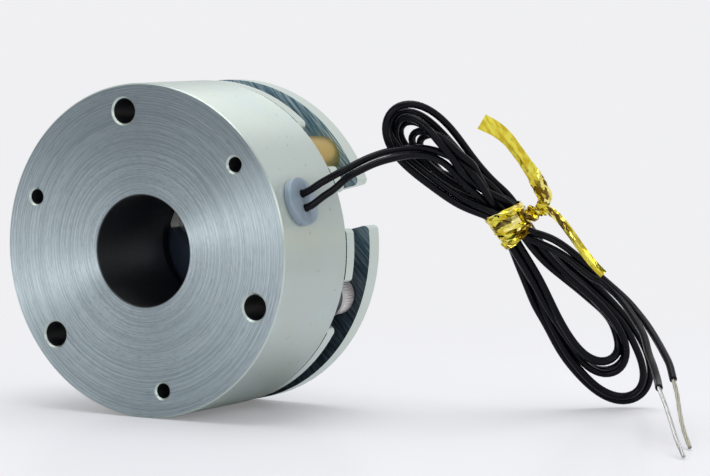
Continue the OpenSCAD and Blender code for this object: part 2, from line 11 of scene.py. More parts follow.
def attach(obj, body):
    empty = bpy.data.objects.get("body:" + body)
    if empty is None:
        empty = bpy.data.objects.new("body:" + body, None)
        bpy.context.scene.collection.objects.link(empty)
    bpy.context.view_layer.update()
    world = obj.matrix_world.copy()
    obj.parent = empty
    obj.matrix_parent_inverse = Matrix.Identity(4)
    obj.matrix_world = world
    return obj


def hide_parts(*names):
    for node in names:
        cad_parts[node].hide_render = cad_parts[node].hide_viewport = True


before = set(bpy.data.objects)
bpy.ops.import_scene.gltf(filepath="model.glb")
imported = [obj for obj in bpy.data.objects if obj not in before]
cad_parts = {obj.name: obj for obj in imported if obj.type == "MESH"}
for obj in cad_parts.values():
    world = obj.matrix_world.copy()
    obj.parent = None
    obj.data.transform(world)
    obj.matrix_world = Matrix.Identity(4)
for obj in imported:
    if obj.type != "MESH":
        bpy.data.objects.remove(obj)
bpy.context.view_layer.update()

bl_info = {
    "name": "Power-off Brake",
    "version": (1, 0, 0),
    "blender": (4, 5, 0),
    "location": "3D View > Sidebar > Brake",
    "description": "Builds a small spring-applied brake with its tied-up leads",
    "category": "Add Mesh",
}

MM = 0.001
BODY = "magnet_body"
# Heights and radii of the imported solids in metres. Angles are in degrees round the axis: where
# the carrier's flats face, how the plates' scratches slant, and where the screws are
FLOOR = -0.036
HOLE_CIRCLE, HOLE_REACH = 0.0303, 0.0038
BORE, DRIVE_HOLE, PLATE_HOLE = 0.0124, 0.0146, 0.0168
DRIVE_FLATS, SCRATCHES = 48, -48
SCREW_TURNS = (99.3, 219.3, 339.3)
SCREW_SEAT = 0.0294
# Where the two leads leave the coil body
LEAD_TURN, LEAD_DEPTH, LEAD_APART = 18, 0.0083, 0.00155
LEAD_START_RADII = (0.0258, 0.033, 0.0383)


# ---- Nodes


def linear(code):
    """An sRGB hex colour as linear red, green, blue and alpha."""
    parts = [int(code[i:i + 2], 16) / 255 for i in (1, 3, 5)]
    return tuple(c / 12.92 if c <= 0.04045 else ((c + 0.055) / 1.055) ** 2.4
                 for c in parts) + (1.0,)


def add(tree, kind, inputs=None, out=0, **settings):
    """Adds a node and sets its properties. Inputs, by name or number, are set, linked to a socket
    or to a list of them, or take an sRGB hex colour. Gives one output, or all where out is None."""
    node = tree.nodes.new(kind)
    for key, value in settings.items():
        setattr(node, key, value)
    for key, value in (inputs or {}).items():
        if isinstance(value, (bpy.types.NodeSocket, list)):
            for socket in value if isinstance(value, list) else [value]:
                tree.links.new(socket, node.inputs[key])
        else:
            node.inputs[key].default_value = linear(value) if isinstance(value, str) else value
    return node.outputs if out is None else node.outputs[out]


def start_finish(name, colour, roughness, metallic=0.0, patch=0.003, sockets=None):
    """A new material with one Principled shader: the material, its tree, the shader's inputs and
    where a point of it is."""
    material = bpy.data.materials.new(name)
    material.use_nodes = True
    tree = material.node_tree
    shader = tree.nodes["Principled BSDF"].inputs
    shader["Base Color"].default_value = linear(colour) if isinstance(colour, str) else colour
    shader["Roughness"].default_value = roughness
    shader["Metallic"].default_value = metallic
    for key, value in (sockets or {}).items():
        shader[key].default_value = value
    return material, tree, shader, place_in(tree, patch)


def place_in(tree, patch):
    """Where a point is: its coordinates, its distance from the brake's axis and its way from it,
    how its surface faces, and a cloud of soft patches of about that size in metres."""
    where = add(tree, "ShaderNodeTexCoord", None, None)
    place = add(tree, "ShaderNodeSeparateXYZ", {0: where["Object"]}, None)
    across = add(tree, "ShaderNodeVectorMath", {0: where["Object"], 1: (1, 0, 1)},
                 operation="MULTIPLY")
    facing = add(tree, "ShaderNodeSeparateXYZ", {0: where["Normal"]}, "Y")
    return {
        "object": where["Object"], "y": place["Y"], "z": place["Z"],
        "radius": add(tree, "ShaderNodeVectorMath", {0: across}, "Value", operation="LENGTH"),
        "way": add(tree, "ShaderNodeVectorMath", {0: across}, operation="NORMALIZE"),
        "normal": where["Normal"], "facing": facing,
        "flat": add(tree, "ShaderNodeMath", {0: facing}, operation="ABSOLUTE"),
        "cloud": add(tree, "ShaderNodeTexNoise",
                     {"Vector": where["Object"], "Scale": 1 / patch, "Detail": 3}),
    }


def within(tree, *edges):
    """1 where every value is past its soft edge, from its first number to its second, else 0."""
    share = 1.0
    for value, start, end in edges:
        edge = add(tree, "ShaderNodeMapRange", {"Value": value, "From Min": start, "From Max": end},
                   interpolation_type="SMOOTHSTEP")
        share = add(tree, "ShaderNodeMath", {0: share, 1: edge}, operation="MULTIPLY")
    return share


def layered(tree, base, *layers):
    """Lays colours over a base colour. A layer is its pattern, its strength and its colour."""
    for pattern, strength, colour in layers:
        share = add(tree, "ShaderNodeMath", {0: pattern, 1: strength}, operation="MULTIPLY")
        base = add(tree, "ShaderNodeMix", {0: share, 6: base, 7: colour}, 2, data_type="RGBA")
    return base


def turning_marks(tree, at, pitch, wander=1.5, detail=3.0):
    """Lines that a lathe leaves, pitch metres apart: rings on faces square to the axis, and rings
    round it elsewhere. The more they wander, the shorter they are. Real ones lie 0.05 to 0.1 mm
    apart, which is too fine to show, so every pitch here is coarser."""
    along = add(tree, "ShaderNodeMix",
                {0: within(tree, (at["flat"], 0.6, 0.8)), 2: at["y"], 3: at["radius"]},
                data_type="FLOAT")
    lines = add(tree, "ShaderNodeMath", {0: along, 1: 1 / pitch}, operation="MULTIPLY")
    lift = add(tree, "ShaderNodeCombineXYZ", {"Y": lines})
    drift = add(tree, "ShaderNodeVectorMath", {0: at["way"], 1: (wander,) * 3, 2: lift},
                operation="MULTIPLY_ADD")
    return add(tree, "ShaderNodeTexNoise",
               {"Vector": drift, "Scale": 1.0, "Detail": detail, "Roughness": 0.6})


def surface(tree, shader, colour, bump, **ranges):
    """Gives a shader its colour, its bump as a pattern with a depth in metres and a strength, and
    what else is named as a pattern with the values for its 0 and 1."""
    height, depth, strength = bump
    values = {key: add(tree, "ShaderNodeMapRange",
                       {"Value": pattern, "To Min": low, "To Max": high})
              for key, (pattern, low, high) in ranges.items()}
    values["Base Color"] = colour
    values["Normal"] = add(tree, "ShaderNodeBump",
                           {"Height": height, "Distance": depth, "Strength": strength})
    for key, value in values.items():
        tree.links.new(value, shader[key])


# ---- Finishes


def turned_zinc(colours):
    """Turned steel with pale zinc: rings catch the light on the face, and the rim is satin."""
    material, tree, shader, at = start_finish(
        "turned_zinc_plated_steel", colours.zinc_side, 0.4, 1.0, 0.012,
        {"Anisotropic": 0.9, "Anisotropic Rotation": 0.25})
    face = within(tree, (at["flat"], 0.85, 0.95))
    # Drilled holes and the bore are painted dark and made less metallic: painted shade in these
    # recesses
    ring = add(tree, "ShaderNodeMath", {0: at["radius"], 1: HOLE_CIRCLE, 2: HOLE_REACH},
               operation="COMPARE")
    drilled = within(tree, (ring, 0.0, 1.0), (at["flat"], 0.6, 0.4))
    bore = within(tree, (at["radius"], BORE, BORE - 0.0003))
    dark = add(tree, "ShaderNodeMath", {0: drilled, 1: bore}, operation="MAXIMUM")
    marks = turning_marks(tree, at, 0.00024, 0.8, 1.5)
    fine = turning_marks(tree, at, 0.00013, 0.6, 2.0)
    # Short arcs where the tool chattered
    arcs = turning_marks(tree, at, 0.00017, 11.0, 2.0)
    stain = add(tree, "ShaderNodeTexNoise",
                {"Vector": at["object"], "Scale": 1 / 0.0016, "Detail": 5})
    lines = within(tree, (marks, 0.36, 0.64))
    side = layered(tree, colours.zinc_side, (at["cloud"], 1.0, colours.zinc_tint),
                   (fine, 0.3, "#AEB8B8"), (within(tree, (stain, 0.66, 0.74)), 0.35, "#7E7A6C"))
    steel = layered(tree, "#9CABB1", (lines, 1.0, colours.face), (fine, 0.4, "#DEE8EA"),
                    (within(tree, (arcs, 0.5, 0.68)), 0.4, "#78868E"),
                    # Painted shade: the face is painted a little darker towards the top
                    (within(tree, (at["z"], 0.002, 0.03)), 0.45, "#6C7880"))
    coat = layered(tree, side, (face, 1.0, steel), (dark, 1.0, "#15181C"))
    satin = add(tree, "ShaderNodeMapRange", {"Value": at["cloud"], "To Min": 0.3, "To Max": 0.4})
    turned = add(tree, "ShaderNodeMapRange", {"Value": lines, "To Min": 0.42, "To Max": 0.55})
    rough = add(tree, "ShaderNodeMix", {0: face, 2: satin, 3: turned}, data_type="FLOAT")
    metal = add(tree, "ShaderNodeMix", {0: face, 2: 0.8, 3: 1.0}, data_type="FLOAT")
    metal_less_in_holes = add(tree, "ShaderNodeMath", {0: dark, 1: -0.8, 2: metal}, operation="MULTIPLY_ADD")
    surface(tree, shader, coat, (marks, 0.00005, 0.7), Roughness=(rough, 0.0, 1.0),
            Metallic=(metal_less_in_holes, 0.0, 1.0))
    around = add(tree, "ShaderNodeTangent", direction_type="RADIAL", axis="Y")
    tree.links.new(around, shader["Tangent"])
    return material


def ground_plate(colours):
    """Ground and plated steel plate: straight scratches on its faces, pale zinc on its rim. The
    scratches are drawn 0.3 mm apart, because real ones are too fine to show."""
    material, tree, shader, at = start_finish("ground_zinc_plated_steel", colours.zinc_side, 0.35,
                                              1.0, 0.009)
    face = within(tree, (at["flat"], 0.7, 0.9))
    slant = add(tree, "ShaderNodeVectorRotate",
                {"Vector": at["object"], "Angle": math.radians(SCRATCHES)}, rotation_type="Y_AXIS")
    stretch = add(tree, "ShaderNodeVectorMath", {0: slant, 1: (130, 40, 2900)},
                  operation="MULTIPLY")
    scratch = add(tree, "ShaderNodeTexNoise",
                  {"Vector": stretch, "Scale": 1.0, "Detail": 4, "Roughness": 0.65})
    # Painted light and shade: the plates' faces, ground steel and scratches alike, are painted pale
    # towards the top and dark towards the bottom
    painted_top_light = within(tree, (at["z"], -0.012, 0.02))
    ground = layered(tree, "#222F38", (painted_top_light, 1.0, "#5C8CA2"))
    bright = layered(tree, "#4C5E69", (painted_top_light, 1.0, "#DCEDF0"))
    rear = layered(tree, "#9DB0B4", (within(tree, (scratch, 0.3, 0.7)), 1.0, colours.zinc_side))
    steel = layered(tree, ground, (within(tree, (scratch, 0.42, 0.63)), 1.0, bright),
                    (at["cloud"], 0.3, ground), (within(tree, (at["facing"], 0.2, 0.4)), 1.0, rear))
    # The holes' walls are painted dark: painted shade in the holes
    wall = within(tree, (at["radius"], PLATE_HOLE, PLATE_HOLE - 0.0002), (face, 0.4, 0.2))
    coat = layered(tree, colours.zinc_side, (at["cloud"], 1.0, colours.zinc_tint),
                   (face, 1.0, steel), (wall, 1.0, "#14171A"))
    scored = add(tree, "ShaderNodeMapRange", {"Value": scratch, "To Min": 0.3, "To Max": 0.5})
    rough = add(tree, "ShaderNodeMix", {0: face, 2: 0.38, 3: scored}, data_type="FLOAT")
    surface(tree, shader, coat, (scratch, 0.00002, 0.5), Roughness=(rough, 0.0, 1.0),
            Metallic=(face, 0.8, 0.45))
    return material


def lathe_finish(name, colour, shade, roughness, pitch, metallic=1.0):
    """Bright turned metal with fine lines round it, for small fasteners, sleeves and the hub."""
    material, tree, shader, at = start_finish(name, colour, roughness, metallic)
    marks = turning_marks(tree, at, pitch)
    coat = layered(tree, colour, (marks, 0.6, shade), (at["cloud"], 0.3, shade))
    surface(tree, shader, coat, (marks, pitch * 0.06, 0.6),
            Roughness=(marks, roughness - 0.08, roughness + 0.1))
    return material


def blued_carrier():
    """Blued steel, painted pale in the round corners of its drive hole: a painted highlight where
    light reaches into the bore.
    """
    material, tree, shader, at = start_finish("blued_steel", "#4E5A6E", 0.35, 0.7, 0.004)
    turn = math.radians(DRIVE_FLATS)
    level = add(tree, "ShaderNodeVectorMath",
                {0: at["normal"], 1: (math.cos(turn), 0, math.sin(turn))}, "Value",
                operation="DOT_PRODUCT")
    on_flat = add(tree, "ShaderNodeMath", {0: level}, operation="ABSOLUTE")
    # Painted highlight: the round corners of the drive hole are painted pale and less metallic,
    # while the flats stay dark
    painted_highlight = within(tree, (at["flat"], 0.6, 0.4), (at["radius"], DRIVE_HOLE, DRIVE_HOLE - 0.0003),
                  (on_flat, 0.98, 0.9))
    coat = layered(tree, "#4E5A6E", (at["cloud"], 1.0, "#353F52"), (painted_highlight, 1.0, "#F6F0E4"))
    surface(tree, shader, coat, (turning_marks(tree, at, 0.0005), 0.00002, 0.5),
            Roughness=(at["cloud"], 0.3, 0.42), Metallic=(painted_highlight, 0.7, 0.2))
    return material


def friction_compound():
    """Moulded friction material: dark resin with pale fibres and 0.7 mm brass chips in it."""
    material, tree, shader, at = start_finish("moulded_friction_compound", "#3A3530", 0.85)
    grains = add(tree, "ShaderNodeTexNoise",
                 {"Vector": at["object"], "Scale": 1 / 0.0006, "Detail": 5})
    chips = add(tree, "ShaderNodeTexVoronoi", {"Vector": at["object"], "Scale": 1500}, "Distance")
    coat = layered(tree, "#2B2724", (grains, 1.0, "#57504A"),
                   (within(tree, (chips, 0.16, 0.1)), 1.0, "#9A8452"))
    surface(tree, shader, coat, (grains, 0.00006, 0.7))
    return material


def enamelled_copper():
    """Enamelled copper wire wound turn on turn, 0.4 mm apart."""
    material, tree, shader, at = start_finish("enamelled_copper", "#B0602C", 0.3, 1.0)
    turn = add(tree, "ShaderNodeMath", {0: at["y"], 1: 2 * math.pi / 0.0004}, operation="MULTIPLY")
    rows = add(tree, "ShaderNodeMath", {0: turn}, operation="SINE")
    share = add(tree, "ShaderNodeMapRange", {"Value": rows, "To Min": 0.2, "To Max": 0.8})
    coat = layered(tree, "#7A3A18", (share, 1.0, "#C77A3E"))
    surface(tree, shader, coat, (rows, 0.00008, 0.8))
    return material


def grained(name, colour, other, grain, rough, bump, metallic=0.0, sockets=None, detail=4,
            share=1.0):
    """A finish of two colours in soft patches of about the grain's size in metres. The patches
    vary its roughness between two values, and lift it by a depth at a strength."""
    material, tree, shader, at = start_finish(name, colour, sum(rough) / 2, metallic,
                                              sockets=sockets)
    patches = add(tree, "ShaderNodeTexNoise",
                  {"Vector": at["object"], "Scale": 1 / grain, "Detail": detail})
    coat = layered(tree, colour, (patches, share, other))
    surface(tree, shader, coat, (patches, *bump), Roughness=(patches, *rough))
    return material


def gold_foil(name, colours, crease):
    """Gold-coloured foil on a twist tie: mirror-bright, with facets round the knot painted dark
    brown and pale yellow as painted reflections.
    Crease says how many of them lie in a metre across the strands, along them and in depth."""
    material, tree, shader, at = start_finish(name, colours.foil, 0.15, 1.0)
    away = add(tree, "ShaderNodeVectorMath", {0: at["object"], 1: TIE @ Vector(PAINTED_FACETS_ROUND)},
               "Value", operation="DISTANCE")
    near = (away, *PAINTED_FACETS_WITHIN)
    turned = add(tree, "ShaderNodeVectorRotate",
                 {"Vector": at["object"], "Rotation": TIE.to_euler()},
                 rotation_type="EULER_XYZ", invert=True)
    drawn = add(tree, "ShaderNodeVectorMath", {0: turned, 1: crease}, operation="MULTIPLY")
    folds = add(tree, "ShaderNodeTexNoise", {"Vector": drawn, "Scale": 1.0, "Detail": 1.5})
    facets = add(tree, "ShaderNodeTexVoronoi", {"Vector": drawn, "Scale": 1.0}, "Color")
    shade = add(tree, "ShaderNodeSeparateColor", {"Color": facets}, None)
    # Painted reflections: darker gold in patches along the folds, and round the knot some facets
    # painted pale yellow as highlights and some dark brown as shade
    gold = layered(tree, colours.foil, (within(tree, (folds, 0.35, 0.65)), 1.0, "#CDB42E"),
                   (within(tree, (shade["Green"], 0.7, 0.76), near), 0.8, "#FFF2A0"),
                   (within(tree, (shade["Red"], 0.6, 0.66), near), 0.9, "#553206"))
    surface(tree, shader, gold, (folds, 0.00012, 0.6), Roughness=(folds, 0.08, 0.18))
    return material


# ---- Shapes


def put(name, data):
    """A new object in the scene."""
    thing = bpy.data.objects.new(name, data)
    bpy.context.scene.collection.objects.link(thing)
    return thing


def aim(thing, way):
    """Turns a camera or a lamp so that it looks along a way."""
    thing.rotation_mode = "QUATERNION"
    thing.rotation_quaternion = way.to_track_quat("-Z", "Y")


def smoothed(mesh, smooth=True):
    """Shades a mesh smooth, or flat."""
    mesh.polygons.foreach_set("use_smooth", [smooth] * len(mesh.polygons))
    return mesh


def dress(node, material):
    """Gives a carried-over node its finish."""
    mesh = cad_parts[node].data
    mesh.materials.clear()
    mesh.materials.append(material)


def keep(name, mesh, body, node, material=None):
    """Makes a mesh a piece that rides on a body and stands for a node."""
    piece = put(name, mesh)
    if material:
        mesh.materials.clear()
        mesh.materials.append(material)
    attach(piece, body)
    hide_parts(node)
    return piece


def skin(name, rings, caps=True):
    """A flat-shaded mesh over closed rows of points, one row after another."""
    rows, count = len(rings), len(rings[0])
    points = [tuple(p) for ring in rings for p in ring]
    faces = [(i * count + k, i * count + (k + 1) % count,
              (i + 1) * count + (k + 1) % count, (i + 1) * count + k)
             for i in range(rows - 1) for k in range(count)]
    if caps:
        faces += [tuple(range(count))[::-1], tuple((rows - 1) * count + k for k in range(count))]
    mesh = bpy.data.meshes.new(name)
    mesh.from_pydata(points, [], faces)
    shell = bmesh.new()
    shell.from_mesh(mesh)
    bmesh.ops.recalc_face_normals(shell, faces=shell.faces)
    shell.to_mesh(mesh)
    shell.free()
    return smoothed(mesh, False)


def made(name, shell):
    """A new mesh with a shell's faces. The shell is used up."""
    mesh = bpy.data.meshes.new(name)
    shell.to_mesh(mesh)
    shell.free()
    return mesh


def joined(name, meshes):
    """Several meshes as one."""
    whole = bmesh.new()
    for mesh in meshes:
        whole.from_mesh(mesh)
    return made(name, whole)


def smooth_line(points, spacing):
    """A smooth curve through the points, as an array of points evenly spaced that far apart."""
    p = np.array(points, float)
    p = np.vstack([2 * p[0] - p[1], p, 2 * p[-1] - p[-2]])
    curve = []
    for a, b, c, d in zip(p[:-3], p[1:-2], p[2:-1], p[3:]):
        for t in np.linspace(0, 1, 12, endpoint=False):
            curve.append((2 * b + (c - a) * t + (2 * a - 5 * b + 4 * c - d) * t ** 2
                          + (3 * b - a - 3 * c + d) * t ** 3) / 2)
    line = np.array(curve + [p[-2]])
    along = np.concatenate([[0], np.cumsum(np.linalg.norm(np.diff(line, axis=0), axis=1))])
    at = np.linspace(0, along[-1], max(2, round(along[-1] / spacing) + 1))
    return np.stack([np.interp(at, along, line[:, k]) for k in range(3)], axis=1)


def new_tree(name, **inputs):
    """A Geometry Nodes tree with a geometry and named values going in, and a geometry going out."""
    tree = bpy.data.node_groups.new(name, "GeometryNodeTree")
    tree.interface.new_socket("Geometry", in_out="INPUT", socket_type="NodeSocketGeometry")
    for key, value in inputs.items():
        kind = ("NodeSocketMaterial" if value is None else
                "NodeSocketInt" if isinstance(value, int) else "NodeSocketFloat")
        socket = tree.interface.new_socket(key.replace("_", " "), in_out="INPUT", socket_type=kind)
        if value is not None:
            socket.default_value = value
    tree.interface.new_socket("Geometry", in_out="OUTPUT", socket_type="NodeSocketGeometry")
    return tree, tree.nodes.new("NodeGroupInput").outputs, tree.nodes.new("NodeGroupOutput").inputs


def end_tree(tree, given, end, geometry):
    """Ends a tree: its instances become real, take their finish and go out."""
    real = add(tree, "GeometryNodeRealizeInstances", {0: geometry})
    done = add(tree, "GeometryNodeSetMaterial", {"Geometry": real, "Material": given["Finish"]})
    tree.links.new(done, end[0])
    return tree


def grown(name, start, tree, sizes):
    """Runs a Geometry Nodes tree on start, and returns the result as a plain mesh."""
    modifier = start.modifiers.new("grow", "NODES")
    modifier.node_group = tree
    for item in tree.interface.items_tree:
        if item.item_type == "SOCKET" and item.in_out == "INPUT" and item.name in sizes:
            modifier[item.identifier] = sizes[item.name]
    bpy.context.view_layer.update()
    ready = bpy.context.evaluated_depsgraph_get()
    mesh = bpy.data.meshes.new_from_object(start.evaluated_get(ready), depsgraph=ready)
    mesh.name = name
    start.modifiers.remove(modifier)
    bpy.data.objects.remove(start)
    return mesh


# ---- The leads

# The leads from the grommet to the hank, and from the hank to the ends of their insulation, in
# millimetres in the brake's frame
UPPER_WAY_IN = [
    (39.5, 9, 15.5), (42.5, 11, 17.5), (44.5, 13.5, 19), (46.5, 16.5, 20.5), (48, 20.5, 21.5),
    (50, 23.5, 22), (52.5, 27, 22.5),
]
LOWER_WAY_IN = [
    (39.5, 9.5, 12.5), (41.5, 10.5, 14), (44, 12, 16.5), (46, 14, 18), (48.5, 16.5, 19.5),
    (51, 20, 20.5), (53, 24.5, 21),
]
LEFT_WAY_OUT = [
    (73.5, 46.5, 1), (79, 48.5, -2.5), (84.5, 50, -6.5), (88.5, 50, -9.5), (92, 48, -12),
    (95.5, 45, -14.5), (99, 41, -16.5), (102.5, 36, -19.5), (106, 31, -21.5),
    (109, 26.5, -23.5), (111.5, 22, -24.5),
]
RIGHT_WAY_OUT = [
    (73.5, 46.5, 3.5), (79, 48.5, -1), (84, 50.5, -5.5), (90, 50.5, -10), (94, 49, -13),
    (97.5, 46, -15), (101, 43, -17.5), (104.5, 39, -19.5), (107.5, 35.5, -21.5), (110, 32, -24),
]
LEFT_BARE = [
    (109, 26.5, -23.5), (111.5, 22, -24.5), (115, 17.5, -27), (118.5, 13, -30), (121.5, 9, -32.5),
    (124.5, 6, -35.4),
]
RIGHT_BARE = [
    (107.5, 35.5, -21.5), (110, 32, -24), (112.5, 28.5, -26.5), (115, 24.5, -29.5),
    (117.5, 21, -32.5), (120.5, 17.5, -35.4),
]

# The hank's own plane: it leans on the floor, X across it, Y up it and Z towards the front
LEAN = math.radians(15)
HANK = (Matrix.Translation((0.0808, 0.0666, FLOOR + 0.003 * math.sin(LEAN)))
        @ Matrix.Rotation(math.radians(31), 4, "Z")
        @ Matrix.Rotation(math.radians(90) + LEAN, 4, "X"))
# The tie's own frame in the hank: X across the strands and Y along them
TIE = HANK @ Matrix.Translation((-0.0248, 0.0429, 0)) @ Matrix.Rotation(math.radians(30), 4, "Z")

# Loops below the tie in millimetres in the hank's plane, down on the left and up on the right,
# from the inner ones to the outer ones. The upper lead is a, and the lower lead is b
LOWER_LOOPS = {
    "a1": [(-18, 28.5), (-15.5, 23.5), (-12.3, 18.5), (-9.6, 14.8), (-7.1, 12), (-4.1, 10.7),
           (-1, 11.4), (0.4, 14.2), (-0.3, 17.3), (-2.4, 20.4), (-5.6, 23), (-9, 26.5),
           (-13, 30.2), (-17, 33.5)],
    "b1": [(-19.3, 30), (-16.2, 24), (-12.9, 18.2), (-10, 14), (-7, 11), (-3.6, 9.7), (-0.5, 10.5),
           (1, 13.1), (0.6, 16.2), (-1.3, 19.3), (-4, 22.3), (-7.5, 26), (-12, 30), (-16, 33.6)],
    "a2": [(-20, 31), (-17, 25), (-14, 19), (-11, 13.2), (-8.3, 9.8), (-5.6, 7.7), (-3, 6.9),
           (-0.7, 7.5), (0.9, 9.4), (1.5, 12), (1.2, 14.5), (0, 17.5), (-2, 20.8), (-5, 24.3),
           (-9, 28), (-13.5, 32)],
    "b2": [(-20.5, 31), (-17.5, 25), (-14.6, 19), (-11.6, 13.2), (-8.8, 9.8), (-5.8, 7.8),
           (-3, 7.2), (-0.9, 7.9), (0.5, 9.8), (1, 12.2), (0.8, 14.8), (-0.5, 18), (-2.6, 21.3),
           (-5.6, 24.8), (-9.6, 28.5), (-14, 32.4)],
    "a3": [(-21, 31), (-18, 25), (-15, 19), (-12.3, 13.5), (-9, 9), (-5.8, 5.3), (-2.6, 3),
           (0.7, 2), (3.5, 2.4), (5.1, 4.3), (5.4, 7), (4.8, 10), (3.5, 13), (1.6, 16.2),
           (-0.9, 19.4), (-4, 23), (-8, 26.9), (-12, 30.5), (-15.5, 33.5)],
    "b3": [(-21.5, 30), (-18.6, 24), (-16, 18), (-13.5, 12.5), (-10, 8), (-6.6, 4.3), (-3.2, 1.6),
           (0.7, 0.2), (3.8, 0.7), (6, 2.6), (7, 5.2), (6.9, 8.2), (5.8, 12.2), (4, 15.8),
           (1.9, 18.8), (-0.6, 21.9), (-4, 25.6), (-8, 29), (-12, 32.3)],
}
# Loops above the tie, up on the right and down on the left
UPPER_LOOPS = {
    "a1": [(-31, 51), (-34.3, 55.9), (-37.7, 60.2), (-40.8, 63.2), (-43.9, 64.3), (-46.1, 62.9),
           (-46.2, 59.8), (-43.8, 56.3), (-39.8, 52.8), (-35, 49.4)],
    "b1": [(-31, 51.2), (-33.9, 55.6), (-37, 59.5), (-39.9, 62.1), (-42.8, 62.7), (-44.8, 61),
           (-44.4, 57.6), (-41.5, 54), (-37.4, 50.8), (-33.5, 48.4)],
    "a2": [(-30, 49.2), (-33.4, 53.9), (-37.2, 59), (-40.7, 63.2), (-44.2, 66.5), (-47.3, 67.4),
           (-49.8, 66.2), (-50.6, 63.5), (-49.8, 60.3), (-46.9, 56.8), (-42.6, 53.4),
           (-37.4, 49.6)],
    "b2": [(-30.4, 49.5), (-33.9, 54.4), (-37.7, 59.2), (-40.9, 62.7), (-43.9, 65.2),
           (-46.8, 65.7), (-48.9, 63.8), (-48.7, 60.7), (-46.3, 57.4), (-42.5, 54.2), (-38, 51.2)],
    "a3": [(-28.2, 50.4), (-32.2, 55.6), (-35.9, 61.1), (-39, 65.1), (-41.9, 67.7), (-44.7, 69.3),
           (-47.3, 69.7), (-49.9, 69), (-51.5, 67), (-52, 64.6), (-51.6, 61.8), (-50.4, 59.4),
           (-48.4, 57.2), (-45, 54), (-39.9, 50.3), (-34.7, 46.8)],
    "b3": [(-29.2, 49.6), (-32.6, 53.8), (-35.8, 57.8), (-38.9, 61.4), (-42, 64.6), (-44.6, 66.9),
           (-47.4, 67.7), (-49.8, 66.8), (-50.9, 64.7), (-50.6, 62), (-49.1, 59.5), (-46.6, 57.2),
           (-43, 54.2), (-38.5, 50.8), (-34, 47.5)],
}
# Where each strand passes under the tie, across it and towards the front, in millimetres
SLOTS = {
    "a": [(-0.85, 0.8), (0.85, 0.8), (-0.85, -0.8), (2.5, 0.8), (-0.85, -2.4), (2.5, -2.4)],
    "b": [(-2.5, 0.8), (0.85, -0.8), (-2.5, -0.8), (2.5, -0.8), (-2.5, -2.4), (0.85, -2.4)],
}
LAST_PASS = {"a": ((-2.4, 2.4), (0.85, 2.5)), "b": ((-0.8, 2.4), (2.4, 2.5))}
OVER_THE_HANK = {
    "a": [(-40.5, 59.8, 3.2), (-37.4, 58.4, 3), (-34.4, 55.9, 2.8), (-31.5, 52.4, 2.5),
          (-29, 49.2, 1.9)],
    "b": [(-40.5, 58.2, 3.2), (-37.4, 56.2, 3), (-34.5, 53.2, 2.8), (-31.9, 50.2, 2.5),
          (-30, 47.6, 1.9)],
}
# How far a lead lies in front of the hank's middle, and how far each turn's lower and upper folds
# swing from front to back, so that the small folds bend no tighter than the lead can
DEPTHS = {"a": 0.85, "b": -0.85}
LOWER_SWING = (3.6, -1.0, 0.6)
UPPER_SWING = (5.2, 4.4, -1.4)
# The leads settle in steps of this many metres along them. They keep so many diameters between
# their middles, and bend to a radius of so many. The rest is how often, how strongly and how fast
STEP = 0.0015
LEAD_GAP, LEAD_BEND = 1.02, 3.1
ROUNDS, BEND_ROUNDS = 200, 12
EASE, SMOOTH, SLACKEN, HOME, PUSH, FASTEST = 0.4, 0.25, 0.02, 0.008, 0.35, 0.0003


def metres(points):
    """Points given in millimetres, in metres."""
    return [tuple(c * MM for c in p) for p in points]


def in_hank(a, b, w):
    """A point of the hank's plane, given in millimetres."""
    return HANK @ (Vector((a, b, w)) * MM)


def in_tie(u, v, w):
    """A point under the tie, given in millimetres."""
    return TIE @ (Vector((u, v, w)) * MM)


def lead_start(side):
    """The straight start of a lead, from the coil out through the grommet."""
    c, s = math.cos(math.radians(LEAD_TURN)), math.sin(math.radians(LEAD_TURN))
    return [(r * c - side * LEAD_APART * s, LEAD_DEPTH, r * s + side * LEAD_APART * c)
            for r in LEAD_START_RADII]


def fold(loop, depth, swing, before, after):
    """One of the hank's folds: its depth goes from one slot under the tie to the next."""
    points = []
    for i, (a, b) in enumerate(loop):
        share = i / (len(loop) - 1)
        into, out = max(0, 1 - 4 * share), max(0, 4 * share - 3)
        swung = depth + swing * math.cos(math.pi * share)
        points.append(in_hank(a, b, swung * (1 - into - out) + before * into + after * out))
    return points


def lead_route(which, way_in, side):
    """The points of a lead before it settles, up to where it leaves the hank."""
    slots, depth = SLOTS[which], DEPTHS[which]
    route = [Vector(p) for p in lead_start(side) + metres(way_in)]
    route += [in_hank(*p) for p in OVER_THE_HANK[which]]
    for turn in range(3):
        down, up = slots[2 * turn], slots[2 * turn + 1]
        after = slots[2 * turn + 2] if turn < 2 else LAST_PASS[which][0]
        lower, upper = LOWER_LOOPS[f"{which}{turn + 1}"], UPPER_LOOPS[f"{which}{turn + 1}"]
        route += [in_tie(down[0], v, down[1]) for v in (3.5, 0, -3.5)]
        route += fold(lower, depth, LOWER_SWING[turn], down[1], up[1])
        route += [in_tie(up[0], v, up[1]) for v in (-3.5, 0, 3.5)]
        route += fold(upper, depth, UPPER_SWING[turn], up[1], after[1])
    (u0, w0), (u1, w1) = LAST_PASS[which]
    return route + [in_tie(u0, 4, w0), in_tie((u0 + u1) / 2, 0, (w0 + w1) / 2), in_tie(u1, -4, w1)]


def beside(q):
    """The middle between each point's two neighbours."""
    return (np.roll(q, 1, axis=0) + np.roll(q, -1, axis=0)) / 2


